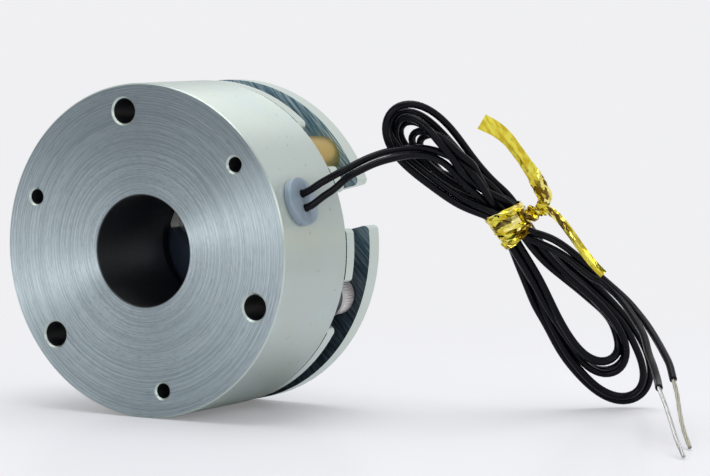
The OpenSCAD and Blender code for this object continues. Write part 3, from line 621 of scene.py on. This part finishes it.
def settle(lines, held, gap, radius):
    """Lets the leads settle: they keep a diameter apart, bend gently and lie above the floor."""
    count = [len(line) for line in lines]
    p = np.concatenate(lines)
    goal = p.copy()
    lead = np.repeat(np.arange(len(lines)), count)
    free = ~np.concatenate(held)
    index = np.arange(len(p))
    near = (lead[:, None] == lead[None]) & (abs(index[:, None] - index[None]) <= 3)
    inner = ((lead == np.roll(lead, 1)) & (lead == np.roll(lead, -1)) & free)[:, None]
    sharpest = STEP ** 2 / (2 * radius)
    for _ in range(ROUNDS):
        for _ in range(BEND_ROUNDS):
            bend = beside(p) - p
            sharp = np.linalg.norm(bend, axis=1, keepdims=True)
            over = inner * bend * np.maximum(0, 1 - sharpest / np.maximum(sharp, 1e-9))
            p += inner * EASE * (over - beside(over))
        bend = beside(p) - p
        p += inner * (-SMOOTH * (beside(bend) - bend) + SLACKEN * bend + HOME * (goal - p))
        away = p[:, None] - p[None]
        far = np.linalg.norm(away, axis=2)
        push = np.where((far < gap) & ~near, (gap - far) / np.maximum(far, 1e-7), 0) * PUSH
        move = (push[:, :, None] * away).sum(axis=1)
        long = np.linalg.norm(move, axis=1, keepdims=True)
        p += free[:, None] * move * np.minimum(1, FASTEST / np.maximum(long, 1e-9))
        p[:, 2] = np.where(free, np.maximum(p[:, 2], FLOOR + gap / 2), p[:, 2])
    return np.split(p, np.cumsum(count)[:-1])


def lead_lines(diameter):
    """Both leads' centrelines, settled. What lies outside the hank stays as it was drawn."""
    lines, held = [], []
    for which, way_in, way_out, side in (("a", UPPER_WAY_IN, LEFT_WAY_OUT, 1),
                                         ("b", LOWER_WAY_IN, RIGHT_WAY_OUT, -1)):
        tail = metres(way_out)
        line = smooth_line(lead_route(which, way_in, side) + [Vector(p) for p in tail], STEP)
        start = np.linalg.norm(line - np.array(metres(way_in)[-2]), axis=1).argmin()
        end = np.linalg.norm(line - np.array(tail[2]), axis=1).argmin()
        index = np.arange(len(line))
        lines.append(line)
        held.append((index <= start) | (index >= end))
    settled = settle(lines, held, LEAD_GAP * diameter, LEAD_BEND * diameter)
    return [smooth_line(line, 0.001) for line in settled]


def cable(name, line, diameter, material):
    """A round cable on a centreline, as a curve of one open spline."""
    curve = bpy.data.curves.new(name, "CURVE")
    curve.dimensions = "3D"
    spline = curve.splines.new("POLY")
    spline.points.add(len(line) - 1)
    spline.points.foreach_set("co", np.hstack([line, np.ones((len(line), 1))]).ravel())
    spline.use_smooth = True
    curve.bevel_depth = diameter / 2
    curve.bevel_resolution = 4
    curve.use_fill_caps = True
    curve.materials.append(material)
    return put(name, curve)


def helix(tree, steps, turns, radius, height):
    """A helix along Z, with that many steps to a turn."""
    return add(tree, "GeometryNodeCurveSpiral", {
        "Resolution": steps, "Rotations": turns, "Start Radius": radius, "End Radius": radius,
        "Height": height})


def swept(tree, curve, section, radius=None):
    """Runs a section along a curve: a shape, or a circle of so many sides and that radius."""
    if radius is not None:
        section = add(tree, "GeometryNodeCurvePrimitiveCircle",
                      {"Resolution": section, "Radius": radius})
    return add(tree, "GeometryNodeCurveToMesh",
               {"Curve": curve, "Profile Curve": section, "Fill Caps": True})


def ringed(tree, count, radius, shape, turn=(0, 0, 0)):
    """Copies a shape round a circle in the plane of X and Y, each copy turned."""
    circle = add(tree, "GeometryNodeMeshCircle", {"Vertices": count, "Radius": radius})
    return add(tree, "GeometryNodeInstanceOnPoints",
               {"Points": circle, "Instance": shape, "Rotation": turn})


def turn_at(tree, value, whole):
    """The angle of a value, where a whole is one full turn."""
    share = add(tree, "ShaderNodeMath", {0: value, 1: whole}, operation="DIVIDE")
    return add(tree, "ShaderNodeMath", {0: share, 1: 2 * math.pi}, operation="MULTIPLY")


def strands_tree():
    """Strands laid round a core and twisted along a curve."""
    tree, given, end = new_tree("twisted_strands", Strand_radius=0.00015, Lay=0.006, Finish=None)
    radius = given["Strand radius"]
    # Just under two radii, so that the strands touch
    wide = add(tree, "ShaderNodeMath", {0: radius, 1: 1.95}, operation="MULTIPLY")
    one = add(tree, "GeometryNodeCurvePrimitiveCircle", {"Resolution": 8, "Radius": radius})
    join = add(tree, "GeometryNodeJoinGeometry", {0: [ringed(tree, 6, wide, one), one]})
    section = add(tree, "GeometryNodeRealizeInstances", {0: join})
    along = add(tree, "GeometryNodeSplineParameter", None, "Length")
    tilted = add(tree, "GeometryNodeSetCurveTilt",
                 {"Curve": given["Geometry"], "Tilt": turn_at(tree, along, given["Lay"])})
    return end_tree(tree, given, end, swept(tree, tilted, section))


# ---- The twist tie

# Its loose ends in millimetres in the hank's plane
TAIL_UP = [
    (-18, 47, 3.2), (-17.2, 48.2, 3.8), (-17.4, 50, 4.9), (-18.5, 52.4, 5.8), (-20.1, 55.4, 6.6),
    (-22, 58.2, 7.1), (-23.9, 61, 7.5), (-25.9, 63.7, 7.8), (-28.4, 66, 8), (-31.5, 67.8, 8.2),
]
TAIL_DOWN = [
    (-18.6, 47.4, 3), (-16.9, 46.9, 3.8), (-14.2, 44.9, 5.6), (-11.9, 42.2, 7.2),
    (-9.8, 39.4, 8.5), (-7.5, 36.7, 9.8), (-5.2, 34.6, 11),
]
# The band's inner width and depth and its length along the strands, and its two turns: their
# middle and breadth as shares of that length, their slope and how far they lie out
BAND_WIDTH, BAND_DEPTH, BAND_LENGTH = 0.0076, 0.0073, 0.0079
BAND_TURNS = ((-0.2, 0.6, 0.06, 0.0), (0.2, 0.6, -0.05, 0.00025))
KNOT_START, KNOT_LENGTH, KNOT_RADIUS, KNOT_FRONT = 0.0034, 0.0046, 0.0019, 0.003
FOIL_THICKNESS = 0.0002
# The foil's facets are painted with dark and pale reflections round this place in the tie's frame,
# from less to more
PAINTED_FACETS_ROUND, PAINTED_FACETS_WITHIN = (0.005, 0, 0.003), (0.0135, 0.007)


def band_mesh(folds, chance):
    """Foil wrapped round the strands in two crossing turns, crumpled into flat facets."""
    rows, count = 7, 24
    turns = []
    for middle, broad, slope, lift in BAND_TURNS:
        rings = []
        for i in range(rows + 1):
            low, high = (-0.15, 0.25) if i in (0, rows) else (-0.5, 0.8)
            ring = []
            for k in range(count):
                shift = 0.5 * (i % 2) + chance.uniform(-0.25, 0.25)
                around = 2 * math.pi * (k + shift) / count
                c, n = math.cos(around), math.sin(around)
                square = (abs(c) ** 4 + abs(n) ** 4) ** -0.25
                out = lift + folds * chance.uniform(low, high)
                s = middle + broad * (i / rows - 0.5 + chance.uniform(-0.05, 0.05)) + slope * c
                # It sags at the back and is pinched where it runs into the knot
                s -= 0.4 * max(0.0, c) * max(0.0, -n)
                pinch = 1 - 0.15 * max(0.0, c) ** 3
                ring.append(TIE @ Vector(((BAND_WIDTH / 2 * square + out) * c,
                                          s * BAND_LENGTH * pinch,
                                          (BAND_DEPTH / 2 * square + out) * n)))
            rings.append(ring)
        turns.append(skin("turn", rings, caps=False))
    return joined("twist_tie_foil_band", turns)


def knot_mesh(chance):
    """Two gathered ends of foil twisted round each other."""
    rows, count = 12, 9
    strands = []
    for start in (0, math.pi):
        rings = []
        for i in range(rows):
            share = i / (rows - 1)
            around = start + 2 * math.pi * share
            wide = KNOT_RADIUS * (0.62 - 0.1 * share)
            centre = Vector((KNOT_START + share * KNOT_LENGTH,
                             math.cos(around) * KNOT_RADIUS * 0.45,
                             KNOT_FRONT + math.sin(around) * KNOT_RADIUS * 0.45))
            ring = []
            for k in range(count):
                a = 2 * math.pi * (k + 0.5 * (i % 2)) / count
                r = wide * chance.uniform(0.75, 1.2)
                slip = wide * chance.uniform(-0.25, 0.25)
                ring.append(TIE @ (centre + Vector((slip, r * math.cos(a), r * math.sin(a)))))
            rings.append(ring)
        strands.append(skin("strand", rings))
    return joined("twist_tie_foil_knot", strands)


def upper_end_shape(share):
    """The upper end's width, twist, depth of its middle fold and height of its creases: broad,
    turned over near the knot and smooth at its tip."""
    return (0.0031 + 0.0005 * math.cos(6.6 * (share - 0.1)), 1.5 * max(0, 0.5 - share),
            0.3 * min(1, (1 - share) * 3), max(0.05, 0.8 - share * 1.2))


def lower_end_shape(share):
    """The same for the lower end: narrow and folded along its middle."""
    return 0.0018, -0.9 * max(0, 0.5 - share), 0.5 - 0.3 * share, max(0.03, 0.4 - share * 0.8)


def strip_mesh(name, path, shape, folds, chance):
    """A foil strip along a path in the hank's plane. Its shape gives its width in metres, its
    twist, the depth of its middle fold and the height of its creases for a share of its length."""
    line = smooth_line([np.array(p) * MM for p in path], 0.0008)
    rings, count = [], 5
    for i, p in enumerate(line):
        width, twist, fold_depth, creased = shape(i / (len(line) - 1))
        creased *= folds
        ahead = Vector(line[min(i + 1, len(line) - 1)] - line[max(i - 1, 0)]).normalized()
        side = ahead.cross(Vector((0, 0, 1))).normalized()
        turn = Matrix.Rotation(twist, 3, ahead)
        side, top = turn @ side, turn @ side.cross(ahead)
        front = []
        for k in range(count + 1):
            x = 2 * k / count - 1
            lift = fold_depth * (1 - abs(x) * 2) * width / 2 + creased * chance.uniform(-1, 1)
            slip = creased * chance.uniform(-0.6, 0.6)
            front.append((x * width / 2 + creased * chance.uniform(-0.4, 0.4), lift, slip))
        rings.append([HANK @ (Vector(p) + side * x + top * (lift + half) + ahead * slip)
                      for half, part in ((FOIL_THICKNESS / 2, front),
                                         (-FOIL_THICKNESS / 2, front[::-1]))
                      for x, lift, slip in part])
    return skin(name, rings)


# ---- Springs and screws

# A mounting screw's outline as radius and height from its seat: its shank, its neck and its head
SCREW_PROFILE = (
    (0.0017, -0.02), (0.0021, -0.0195), (0.0021, -0.0006), (0.0024, 0), (0.0038, 0),
    (0.0041, 0.0002), (0.0041, 0.0044), (0.0039, 0.0048), (0.0035, 0.005),
)
SOCKET_REACH, SOCKET_DEPTH = 0.002, 0.0025
SCREW_SIDES = 48


def spring_tree():
    """Helical springs stood round a circle on the brake's axis, their ends wound closer."""
    tree, given, end = new_tree(
        "standing_springs", Count=6, Circle=0.0155, Coil_radius=0.00155, Wire_radius=0.00025,
        Length=0.0115, Turns=11.0, Start=0.01325, Finish=None)
    coil = helix(tree, 20, given["Turns"], given["Coil radius"], given["Length"])
    along = add(tree, "GeometryNodeSplineParameter", None, "Factor")
    eased = within(tree, (along, 0.0, 1.0))
    gap = add(tree, "ShaderNodeMath", {0: eased, 1: along}, operation="SUBTRACT")
    lift = add(tree, "ShaderNodeMath", {0: gap, 1: given["Length"]}, operation="MULTIPLY")
    half = add(tree, "ShaderNodeMath", {0: lift, 1: 0.5}, operation="MULTIPLY")
    offset = add(tree, "ShaderNodeCombineXYZ", {"Z": half})
    closed = add(tree, "GeometryNodeSetPosition", {"Geometry": coil, "Offset": offset})
    stood = ringed(tree, given["Count"], given["Circle"],
                   swept(tree, closed, 10, given["Wire radius"]))
    shift = add(tree, "ShaderNodeCombineXYZ", {"Y": given["Start"]})
    turned = add(tree, "GeometryNodeTransform",
                 {"Geometry": stood, "Translation": shift, "Rotation": (-math.pi / 2, 0, 0)})
    return end_tree(tree, given, end, turned)


def screw_tree():
    """Adds a straight knurl round a screw's head and a thread round its shank, along Z."""
    tree, given, end = new_tree(
        "knurl_and_thread", Ribs=44, Rib_radius=0.0002, Head_radius=0.0041, Knurl_start=0.0004,
        Knurl_length=0.0038, Thread_radius=0.0022, Ridge_radius=0.0003, Thread_start=-0.0196,
        Thread_length=0.0186, Thread_turns=23.0, Finish=None)
    rib = add(tree, "GeometryNodeMeshCylinder",
              {"Vertices": 4, "Radius": given["Rib radius"], "Depth": given["Knurl length"]})
    number = add(tree, "GeometryNodeInputIndex")
    facing = add(tree, "ShaderNodeCombineXYZ", {"Z": turn_at(tree, number, given["Ribs"])})
    ribs = ringed(tree, given["Ribs"], given["Head radius"], rib, facing)
    middle = add(tree, "ShaderNodeMath",
                 {0: given["Knurl length"], 1: 0.5, 2: given["Knurl start"]},
                 operation="MULTIPLY_ADD")
    ridge = helix(tree, 24, given["Thread turns"], given["Thread radius"], given["Thread length"])
    thread = swept(tree, ridge, 4, given["Ridge radius"])
    knurl, placed = (
        add(tree, "GeometryNodeTransform",
            {"Geometry": shape, "Translation": add(tree, "ShaderNodeCombineXYZ", {"Z": height})})
        for shape, height in ((ribs, middle), (thread, given["Thread start"])))
    join = add(tree, "GeometryNodeJoinGeometry", {0: [given["Geometry"], knurl, placed]})
    return end_tree(tree, given, end, join)


def screw_blank():
    """A socket head screw without knurl or thread, its head above Z = 0 and its shank below."""
    angles = [2 * math.pi * k / SCREW_SIDES for k in range(SCREW_SIDES)]
    top = SCREW_PROFILE[-1][1]
    rows = [[(radius, a, z) for a in angles] for radius, z in SCREW_PROFILE]
    # The hexagon socket, from its mouth down
    rows += [[(SOCKET_REACH / math.cos((a % (math.pi / 3)) - math.pi / 6), a, z) for a in angles]
             for z in (top, top - SOCKET_DEPTH)]
    return skin("screw_blank", [[(r * math.cos(a), r * math.sin(a), z) for r, a, z in row]
                                for row in rows])


# ---- Sizes and colours that a user would change


def swatch(name, description, code):
    """A colour that a user can change."""
    return bpy.props.FloatVectorProperty(name=name, description=description, subtype="COLOR",
                                         size=4, min=0, max=1, default=linear(code))


def length(name, description, default, low, high):
    """A length that a user can change, in metres."""
    return bpy.props.FloatProperty(name=name, description=description, default=default, min=low,
                                   max=high, subtype="DISTANCE", unit="LENGTH")


class BrakeColours(bpy.types.PropertyGroup):
    """Colours of the main finishes."""

    face: swatch("Turned face", "Steel of the turned mounting face", "#CAD8DC")
    zinc_side: swatch("Zinc", "Pale zinc on the rims", "#C7D6D5")
    zinc_tint: swatch("Zinc tint", "Warmer patches in the zinc", "#CBD1C4")
    foil: swatch("Foil", "Gold-coloured foil of the twist tie", "#EADF58")
    grommet: swatch("Grommet", "Milky nylon of the grommet", "#B9C9D4")


class BrakeSizes(bpy.types.PropertyGroup):
    """Sizes of the leads, the tie, the springs and the knurls."""

    lead: length("Lead", "Diameter of a lead over its insulation", 0.0016, 0.0008, 0.003)
    strand: length("Strand", "Diameter of one tinned strand", 0.0003, 0.0001, 0.0005)
    folds: length("Foil folds", "Height of the folds in the foil", 0.0006, 0.0, 0.001)
    spring_turns: bpy.props.FloatProperty(
        name="Spring turns", description="Turns of each torque spring", default=11.0, min=4.0,
        max=16.0)
    knurl_ribs: bpy.props.IntProperty(
        name="Knurl ribs", description="Ribs round the head of a mounting screw", default=44,
        min=24, max=60)


# ---- One operator for each piece or group of like pieces

# The camera as it was fitted to the photograph, in metres, degrees and millimetres
CAMERA_PLACE = (0.369487, -0.525107, 0.05338)
CAMERA_AZIMUTH, CAMERA_ELEVATION = 31.0727, 4.5151
CAMERA_SENSOR, CAMERA_LENS = 36, 3000 / 710 * 36
# The lamps' places, widths and heights in metres, and watts
LAMPS = (
    ("softbox_top", (0.05, 0.05, 0.95), 0.8, 0.8, 4.8, "#FFFFFF"),
    ("softbox_front", (0.2, -1.1, 0.16), 0.7, 0.24, 2.7, "#FDFDFF"),
    ("softbox_right", (0.95, -0.6, 0.4), 0.35, 0.5, 1.4, "#FFFDF8"),
)
LAMPS_AIM = Vector((0.04, 0.02, 0))
FLOOR_MIDDLE, FLOOR_RADIUS = (0.05, 0.03, FLOOR), 3.0
PALE = "#F0F0F2"


class BrakeStage(bpy.types.Operator):
    """Makes the floor, the light, the world and the camera"""

    bl_idname = "brake.stage"
    bl_label = "Stage"

    def execute(self, context):
        context.scene.view_settings.view_transform = "Standard"
        camera = put("camera", bpy.data.cameras.new("camera"))
        context.scene.camera = camera
        camera.data.sensor_width, camera.data.lens = CAMERA_SENSOR, CAMERA_LENS
        camera.data.clip_start, camera.data.clip_end = 0.01, 20
        camera.location = CAMERA_PLACE
        azimuth, elevation = math.radians(CAMERA_AZIMUTH), math.radians(CAMERA_ELEVATION)
        aim(camera, -Vector((math.sin(azimuth) * math.cos(elevation),
                             -math.cos(azimuth) * math.cos(elevation), math.sin(elevation))))

        ground = bmesh.new()
        bmesh.ops.create_circle(ground, cap_ends=True, segments=96, radius=FLOOR_RADIUS)
        sheet = made("floor", ground)
        sheet.transform(Matrix.Translation(FLOOR_MIDDLE))
        sheet.materials.append(self.paper())
        put("floor", sheet)

        for name, place, width, height, watts, colour in LAMPS:
            light = bpy.data.lights.new(name, "AREA")
            light.shape = "RECTANGLE"
            light.size, light.size_y = width, height
            light.energy = watts
            light.color = linear(colour)[:3]
            lamp = put(name, light)
            lamp.location = place
            aim(lamp, LAMPS_AIM - Vector(place))
        self.studio(context)
        return {"FINISHED"}

    def paper(self):
        """Matt white paper that keeps the object's shadow and fades into the background."""
        material = bpy.data.materials.new("matt_white_paper")
        material.use_nodes = True
        tree = material.node_tree
        tree.nodes.clear()
        where = add(tree, "ShaderNodeTexCoord", None, "Object")
        out = add(tree, "ShaderNodeVectorMath", {0: where, 1: FLOOR_MIDDLE}, "Value",
                  operation="DISTANCE")
        fibres = add(tree, "ShaderNodeTexNoise", {"Vector": where, "Scale": 60, "Detail": 3})
        tint = layered(tree, "#E9E9ED", (fibres, 0.5, "#E4E5EA"))
        matt = add(tree, "ShaderNodeBsdfDiffuse", {"Color": tint})
        sheen = add(tree, "ShaderNodeBsdfGlossy", {"Color": "#FFFFFF", "Roughness": 0.28})
        edge = add(tree, "ShaderNodeFresnel", {"IOR": 1.35})
        soft = add(tree, "ShaderNodeMath", {0: edge, 1: 0.25}, operation="MULTIPLY")
        both = add(tree, "ShaderNodeMixShader", {0: soft, 1: matt, 2: sheen})
        glow = add(tree, "ShaderNodeEmission", {"Color": PALE, "Strength": 1.0})
        eye = add(tree, "ShaderNodeLightPath", None, "Is Camera Ray")
        pale = add(tree, "ShaderNodeMath", {0: eye, 1: 0.2, 2: within(tree, (out, 0.07, 0.3))},
                   operation="MULTIPLY_ADD", use_clamp=True)
        seen = add(tree, "ShaderNodeMixShader", {0: pale, 1: both, 2: glow})
        add(tree, "ShaderNodeOutputMaterial", {"Surface": seen}, None)
        return material

    def studio(self, context):
        """A plain pale world, darker towards the front, so that metal shows its shape. What is
        seen directly, in a mirror or through glass is the background at full level."""
        world = bpy.data.worlds.new("studio")
        context.scene.world = world
        world.use_nodes = True
        tree = world.node_tree
        tree.nodes.clear()
        way = add(tree, "ShaderNodeTexCoord", None, "Generated")
        split = add(tree, "ShaderNodeSeparateXYZ", {0: way}, None)
        path = add(tree, "ShaderNodeLightPath", None, None)
        seen = add(tree, "ShaderNodeMath",
                   {0: path["Is Camera Ray"], 1: path["Is Transmission Ray"]}, operation="MAXIMUM")
        colour = layered(tree, "#4E575C", (within(tree, (split["Y"], -0.7, 0.1)), 1.0, PALE),
                         (within(tree, (split["Z"], 0.4, 0.85)), 1.0, PALE), (seen, 1.0, PALE))
        mirrored = add(tree, "ShaderNodeMath", {0: seen, 1: path["Is Glossy Ray"]},
                       operation="MAXIMUM")
        level = add(tree, "ShaderNodeMix", {0: mirrored, 2: 0.86, 3: 1.0}, data_type="FLOAT")
        back = add(tree, "ShaderNodeBackground", {"Color": colour, "Strength": level})
        add(tree, "ShaderNodeOutputWorld", {"Surface": back}, None)


class BrakeLeads(bpy.types.Operator):
    """Makes the two insulated leads, wound in a hank"""

    bl_idname = "brake.leads"
    bl_label = "Leads"

    def execute(self, context):
        thick = context.scene.brake_sizes.lead
        # Wire insulation: extruded, slightly glossy, with faint scuffs
        vinyl = grained("extruded_black_pvc", "#050508", "#11121A", 0.0016, (0.18, 0.3),
                        (0.00003, 0.4), sockets={"Specular IOR Level": 0.12}, share=0.7)
        upper, lower = lead_lines(thick)
        for name, line, nodes in (
                ("upper_lead", upper, ("lead_wire_upper", "free_end_left", "wire_hank")),
                ("lower_lead", lower, ("lead_wire_lower", "free_end_right"))):
            lead = cable(name, line, thick, vinyl)
            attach(lead, BODY)
            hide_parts(*nodes)
        return {"FINISHED"}


class BrakeBareEnds(bpy.types.Operator):
    """Makes the bare tinned strands at the ends of the leads"""

    bl_idname = "brake.bare_ends"
    bl_label = "Bare ends"

    def execute(self, context):
        sizes = context.scene.brake_sizes
        tree = strands_tree()
        for name, path, node, colour, shade, lay, lead, side, declared in (
                ("left_bare_strands", LEFT_BARE, "bare_end_left", "#DEDEDB", "#A9AAA8", 0.005,
                 "upper_lead", 1, 0.63),
                ("right_bare_strands", RIGHT_BARE, "bare_end_right", "#B4B2A4", "#8C8A7C", 0.02,
                 "lower_lead", -1, 0.615)):
            # Tinned copper: silvery, with darker tin in soft patches
            tin = grained(name + "_tin", colour, shade, 0.0008, (0.22, 0.42), (0.00002, 0.4),
                          metallic=1.0, detail=3)
            start = cable(name + "_path", smooth_line(metres(path), 0.0004), 0.0, tin)
            mesh = grown(name, start, tree,
                         {"Strand radius": sizes.strand / 2, "Lay": lay, "Finish": tin})
            bare = keep(name, smoothed(mesh), BODY, node)
        return {"FINISHED"}


class BrakeTwistTie(bpy.types.Operator):
    """Makes the foil twist tie: its band, its knot and its two loose ends"""

    bl_idname = "brake.twist_tie"
    bl_label = "Twist tie"

    def execute(self, context):
        colours, folds = context.scene.brake_colours, context.scene.brake_sizes.folds
        # The band is creased along its way round the hank, and the ends along their length
        wrapped = gold_foil("gold_coloured_foil_band", colours, (420, 1100, 700))
        foil = gold_foil("gold_coloured_foil", colours, (1200, 420, 700))
        chance = np.random.default_rng(5)
        band = keep("tie_band_foil", band_mesh(folds, chance), BODY,
                    "twist_tie_band", wrapped)
        wall = band.modifiers.new("wall", "SOLIDIFY")
        wall.thickness, wall.offset = FOIL_THICKNESS / 2, -1
        keep("tie_knot_foil", knot_mesh(chance), BODY, "twist_tie_knot", foil)
        for which, path, shape in (("upper", TAIL_UP, upper_end_shape),
                                   ("lower", TAIL_DOWN, lower_end_shape)):
            mesh = strip_mesh(f"tie_{which}_end", path, shape, folds, chance)
            keep(f"tie_{which}_end_foil", mesh, BODY, f"twist_tie_end_{which}", foil)
        return {"FINISHED"}


class BrakeGrommet(bpy.types.Operator):
    """Makes the nylon grommet with softly rounded edges"""

    bl_idname = "brake.grommet"
    bl_label = "Grommet"

    def execute(self, context):
        # Natural nylon, moulded: milky and translucent, a little blue where it is thick
        nylon = grained(
            "moulded_natural_nylon", context.scene.brake_colours.grommet, "#94AABD", 0.002,
            (0.26, 0.4), (0.00004, 0.3), detail=2, sockets={
                "Subsurface Weight": 0.4, "Subsurface Scale": 0.002,
                "Subsurface Radius": (0.7, 0.9, 1.0), "Transmission Weight": 0.45,
                "Coat Weight": 0.2})
        merged = bmesh.new()
        merged.from_mesh(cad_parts["lead_grommet"].data)
        bmesh.ops.remove_doubles(merged, verts=merged.verts, dist=0.00001)
        bmesh.ops.dissolve_limit(merged, angle_limit=math.radians(2), verts=merged.verts,
                                 edges=merged.edges)
        mesh = smoothed(made("grommet", merged))
        grommet = keep("soft_grommet", mesh, BODY, "lead_grommet", nylon)
        edge = grommet.modifiers.new("soft_edge", "BEVEL")
        edge.width, edge.segments, edge.limit_method = 0.0003, 3, "ANGLE"
        edge.angle_limit = math.radians(40)
        return {"FINISHED"}


class BrakeCoilBody(bpy.types.Operator):
    """Finishes the coil body, the bobbin, the winding and the potting"""

    bl_idname = "brake.coil_body"
    bl_label = "Coil body"

    def execute(self, context):
        dress("stator_core", turned_zinc(context.scene.brake_colours))
        # Moulded plastic with the dull speckle of its glass fibres, drawn coarse so that it shows
        dress("coil_bobbin", grained("glass_filled_nylon", "#17171A", "#2A2A2E", 0.0004,
                                     (0.44, 0.58), (0.000048, 0.5), share=0.8))
        dress("coil_winding", enamelled_copper())
        # Cast resin, smooth and faintly cloudy
        dress("potting_ring", grained("cast_epoxy_resin", "#101013", "#1D1D22", 0.0012,
                                      (0.24, 0.38), (0.000144, 0.5), share=0.8))
        return {"FINISHED"}


class BrakePlates(bpy.types.Operator):
    """Finishes the armature and the end plate"""

    bl_idname = "brake.plates"
    bl_label = "Armature and end plate"

    def execute(self, context):
        plate = ground_plate(context.scene.brake_colours)
        for node in ("armature_plate", "end_plate"):
            dress(node, plate)
        return {"FINISHED"}


class BrakeFrictionDisc(bpy.types.Operator):
    """Finishes the friction disc: its carrier and its two linings"""

    bl_idname = "brake.friction_disc"
    bl_label = "Friction disc"

    def execute(self, context):
        dress("friction_carrier", blued_carrier())
        lining = friction_compound()
        for node in ("lining_front", "lining_rear"):
            dress(node, lining)
        return {"FINISHED"}


class BrakeHub(bpy.types.Operator):
    """Finishes the hub and its set screws"""

    bl_idname = "brake.hub"
    bl_label = "Hub"

    def execute(self, context):
        dress("drive_hub", lathe_finish("bright_turned_steel", "#B9BDC0", "#8D9296", 0.3, 0.00035))
        # Blackened screws with a dull sheen
        dress("hub_setscrews",
              lathe_finish("black_oxide_steel", "#2A2B2E", "#17181A", 0.45, 0.0004))
        return {"FINISHED"}


class BrakeSprings(bpy.types.Operator):
    """Makes the torque springs in the coil body"""

    bl_idname = "brake.springs"
    bl_label = "Torque springs"

    def execute(self, context):
        # Drawn wire, bright with faint draw marks
        steel = lathe_finish("spring_steel_wire", "#B4B5B6", "#85878A", 0.3, 0.0006)
        start = put("spring_start", bpy.data.meshes.new("spring_start"))
        mesh = grown("helical_springs", start, spring_tree(),
                     {"Turns": context.scene.brake_sizes.spring_turns, "Finish": steel})
        keep("helical_springs", smoothed(mesh), BODY, "torque_springs")
        return {"FINISHED"}


class BrakeMountingScrews(bpy.types.Operator):
    """Makes the three mounting screws, knurled and threaded, and finishes their washers"""

    bl_idname = "brake.mounting_screws"
    bl_label = "Mounting screws"

    def execute(self, context):
        # Nickel plate: pale, a little warm; the washers' zinc is greyer
        nickel = lathe_finish("nickel_plated_steel", "#F0EAE8", "#CFC8C6", 0.3, 0.0005, 0.7)
        zinc = lathe_finish("zinc_plated_spring_steel", "#C4C6C6", "#9B9E9F", 0.35, 0.0005)
        tree, blank = screw_tree(), screw_blank()
        for number, turn in enumerate(SCREW_TURNS, 1):
            mesh = grown(f"knurled_screw_{number}", put("screw_start", blank.copy()), tree,
                         {"Ribs": context.scene.brake_sizes.knurl_ribs, "Finish": nickel})
            angle = math.radians(turn)
            seat = (HOLE_CIRCLE * math.cos(angle), SCREW_SEAT, HOLE_CIRCLE * math.sin(angle))
            mesh.transform(Matrix.Translation(seat) @ Matrix.Rotation(math.radians(-90), 4, "X"))
            keep(f"knurled_screw_{number}", mesh, f"screw_{number}",
                 f"mounting_screw_{number}")
            dress(f"spring_washer_{number}", zinc)
        return {"FINISHED"}


class BrakeFasteners(bpy.types.Operator):
    """Finishes the spacer sleeves and the assembly screws"""

    bl_idname = "brake.fasteners"
    bl_label = "Spacers and assembly screws"

    def execute(self, context):
        # Brass sleeves with a satin turned surface, and blackened screws
        dress("spacer_sleeves", lathe_finish("satin_brass", "#C7AE6E", "#A38B50", 0.38, 0.00045))
        dress("assembly_screws",
              lathe_finish("black_oxide_screw_steel", "#33343A", "#1D1E21", 0.4, 0.0004))
        return {"FINISHED"}


OPERATORS = (
    BrakeStage, BrakeLeads, BrakeBareEnds, BrakeTwistTie, BrakeGrommet, BrakeCoilBody, BrakePlates,
    BrakeFrictionDisc, BrakeHub, BrakeSprings, BrakeMountingScrews, BrakeFasteners,
)


class BrakePanel(bpy.types.Panel):
    """Lists the brake's pieces, sizes and colours"""

    bl_idname = "VIEW3D_PT_brake"
    bl_label = "Power-off Brake"
    bl_space_type = "VIEW_3D"
    bl_region_type = "UI"
    bl_category = "Brake"

    def draw(self, context):
        for group in (context.scene.brake_colours, context.scene.brake_sizes):
            for key in group.bl_rna.properties.keys():
                if key not in ("rna_type", "name"):
                    self.layout.prop(group, key)
        for operator in OPERATORS:
            self.layout.operator(operator.bl_idname)


CLASSES = (BrakeColours, BrakeSizes, *OPERATORS, BrakePanel)


def register():
    for kind in CLASSES:
        bpy.utils.register_class(kind)
    bpy.types.Scene.brake_colours = bpy.props.PointerProperty(type=BrakeColours)
    bpy.types.Scene.brake_sizes = bpy.props.PointerProperty(type=BrakeSizes)


def unregister():
    del bpy.types.Scene.brake_sizes, bpy.types.Scene.brake_colours
    for kind in reversed(CLASSES):
        bpy.utils.unregister_class(kind)


def main():
    register()
    for operator in OPERATORS:
        group, name = operator.bl_idname.split(".")
        getattr(getattr(bpy.ops, group), name)()


if __name__ == "__main__":
    main()
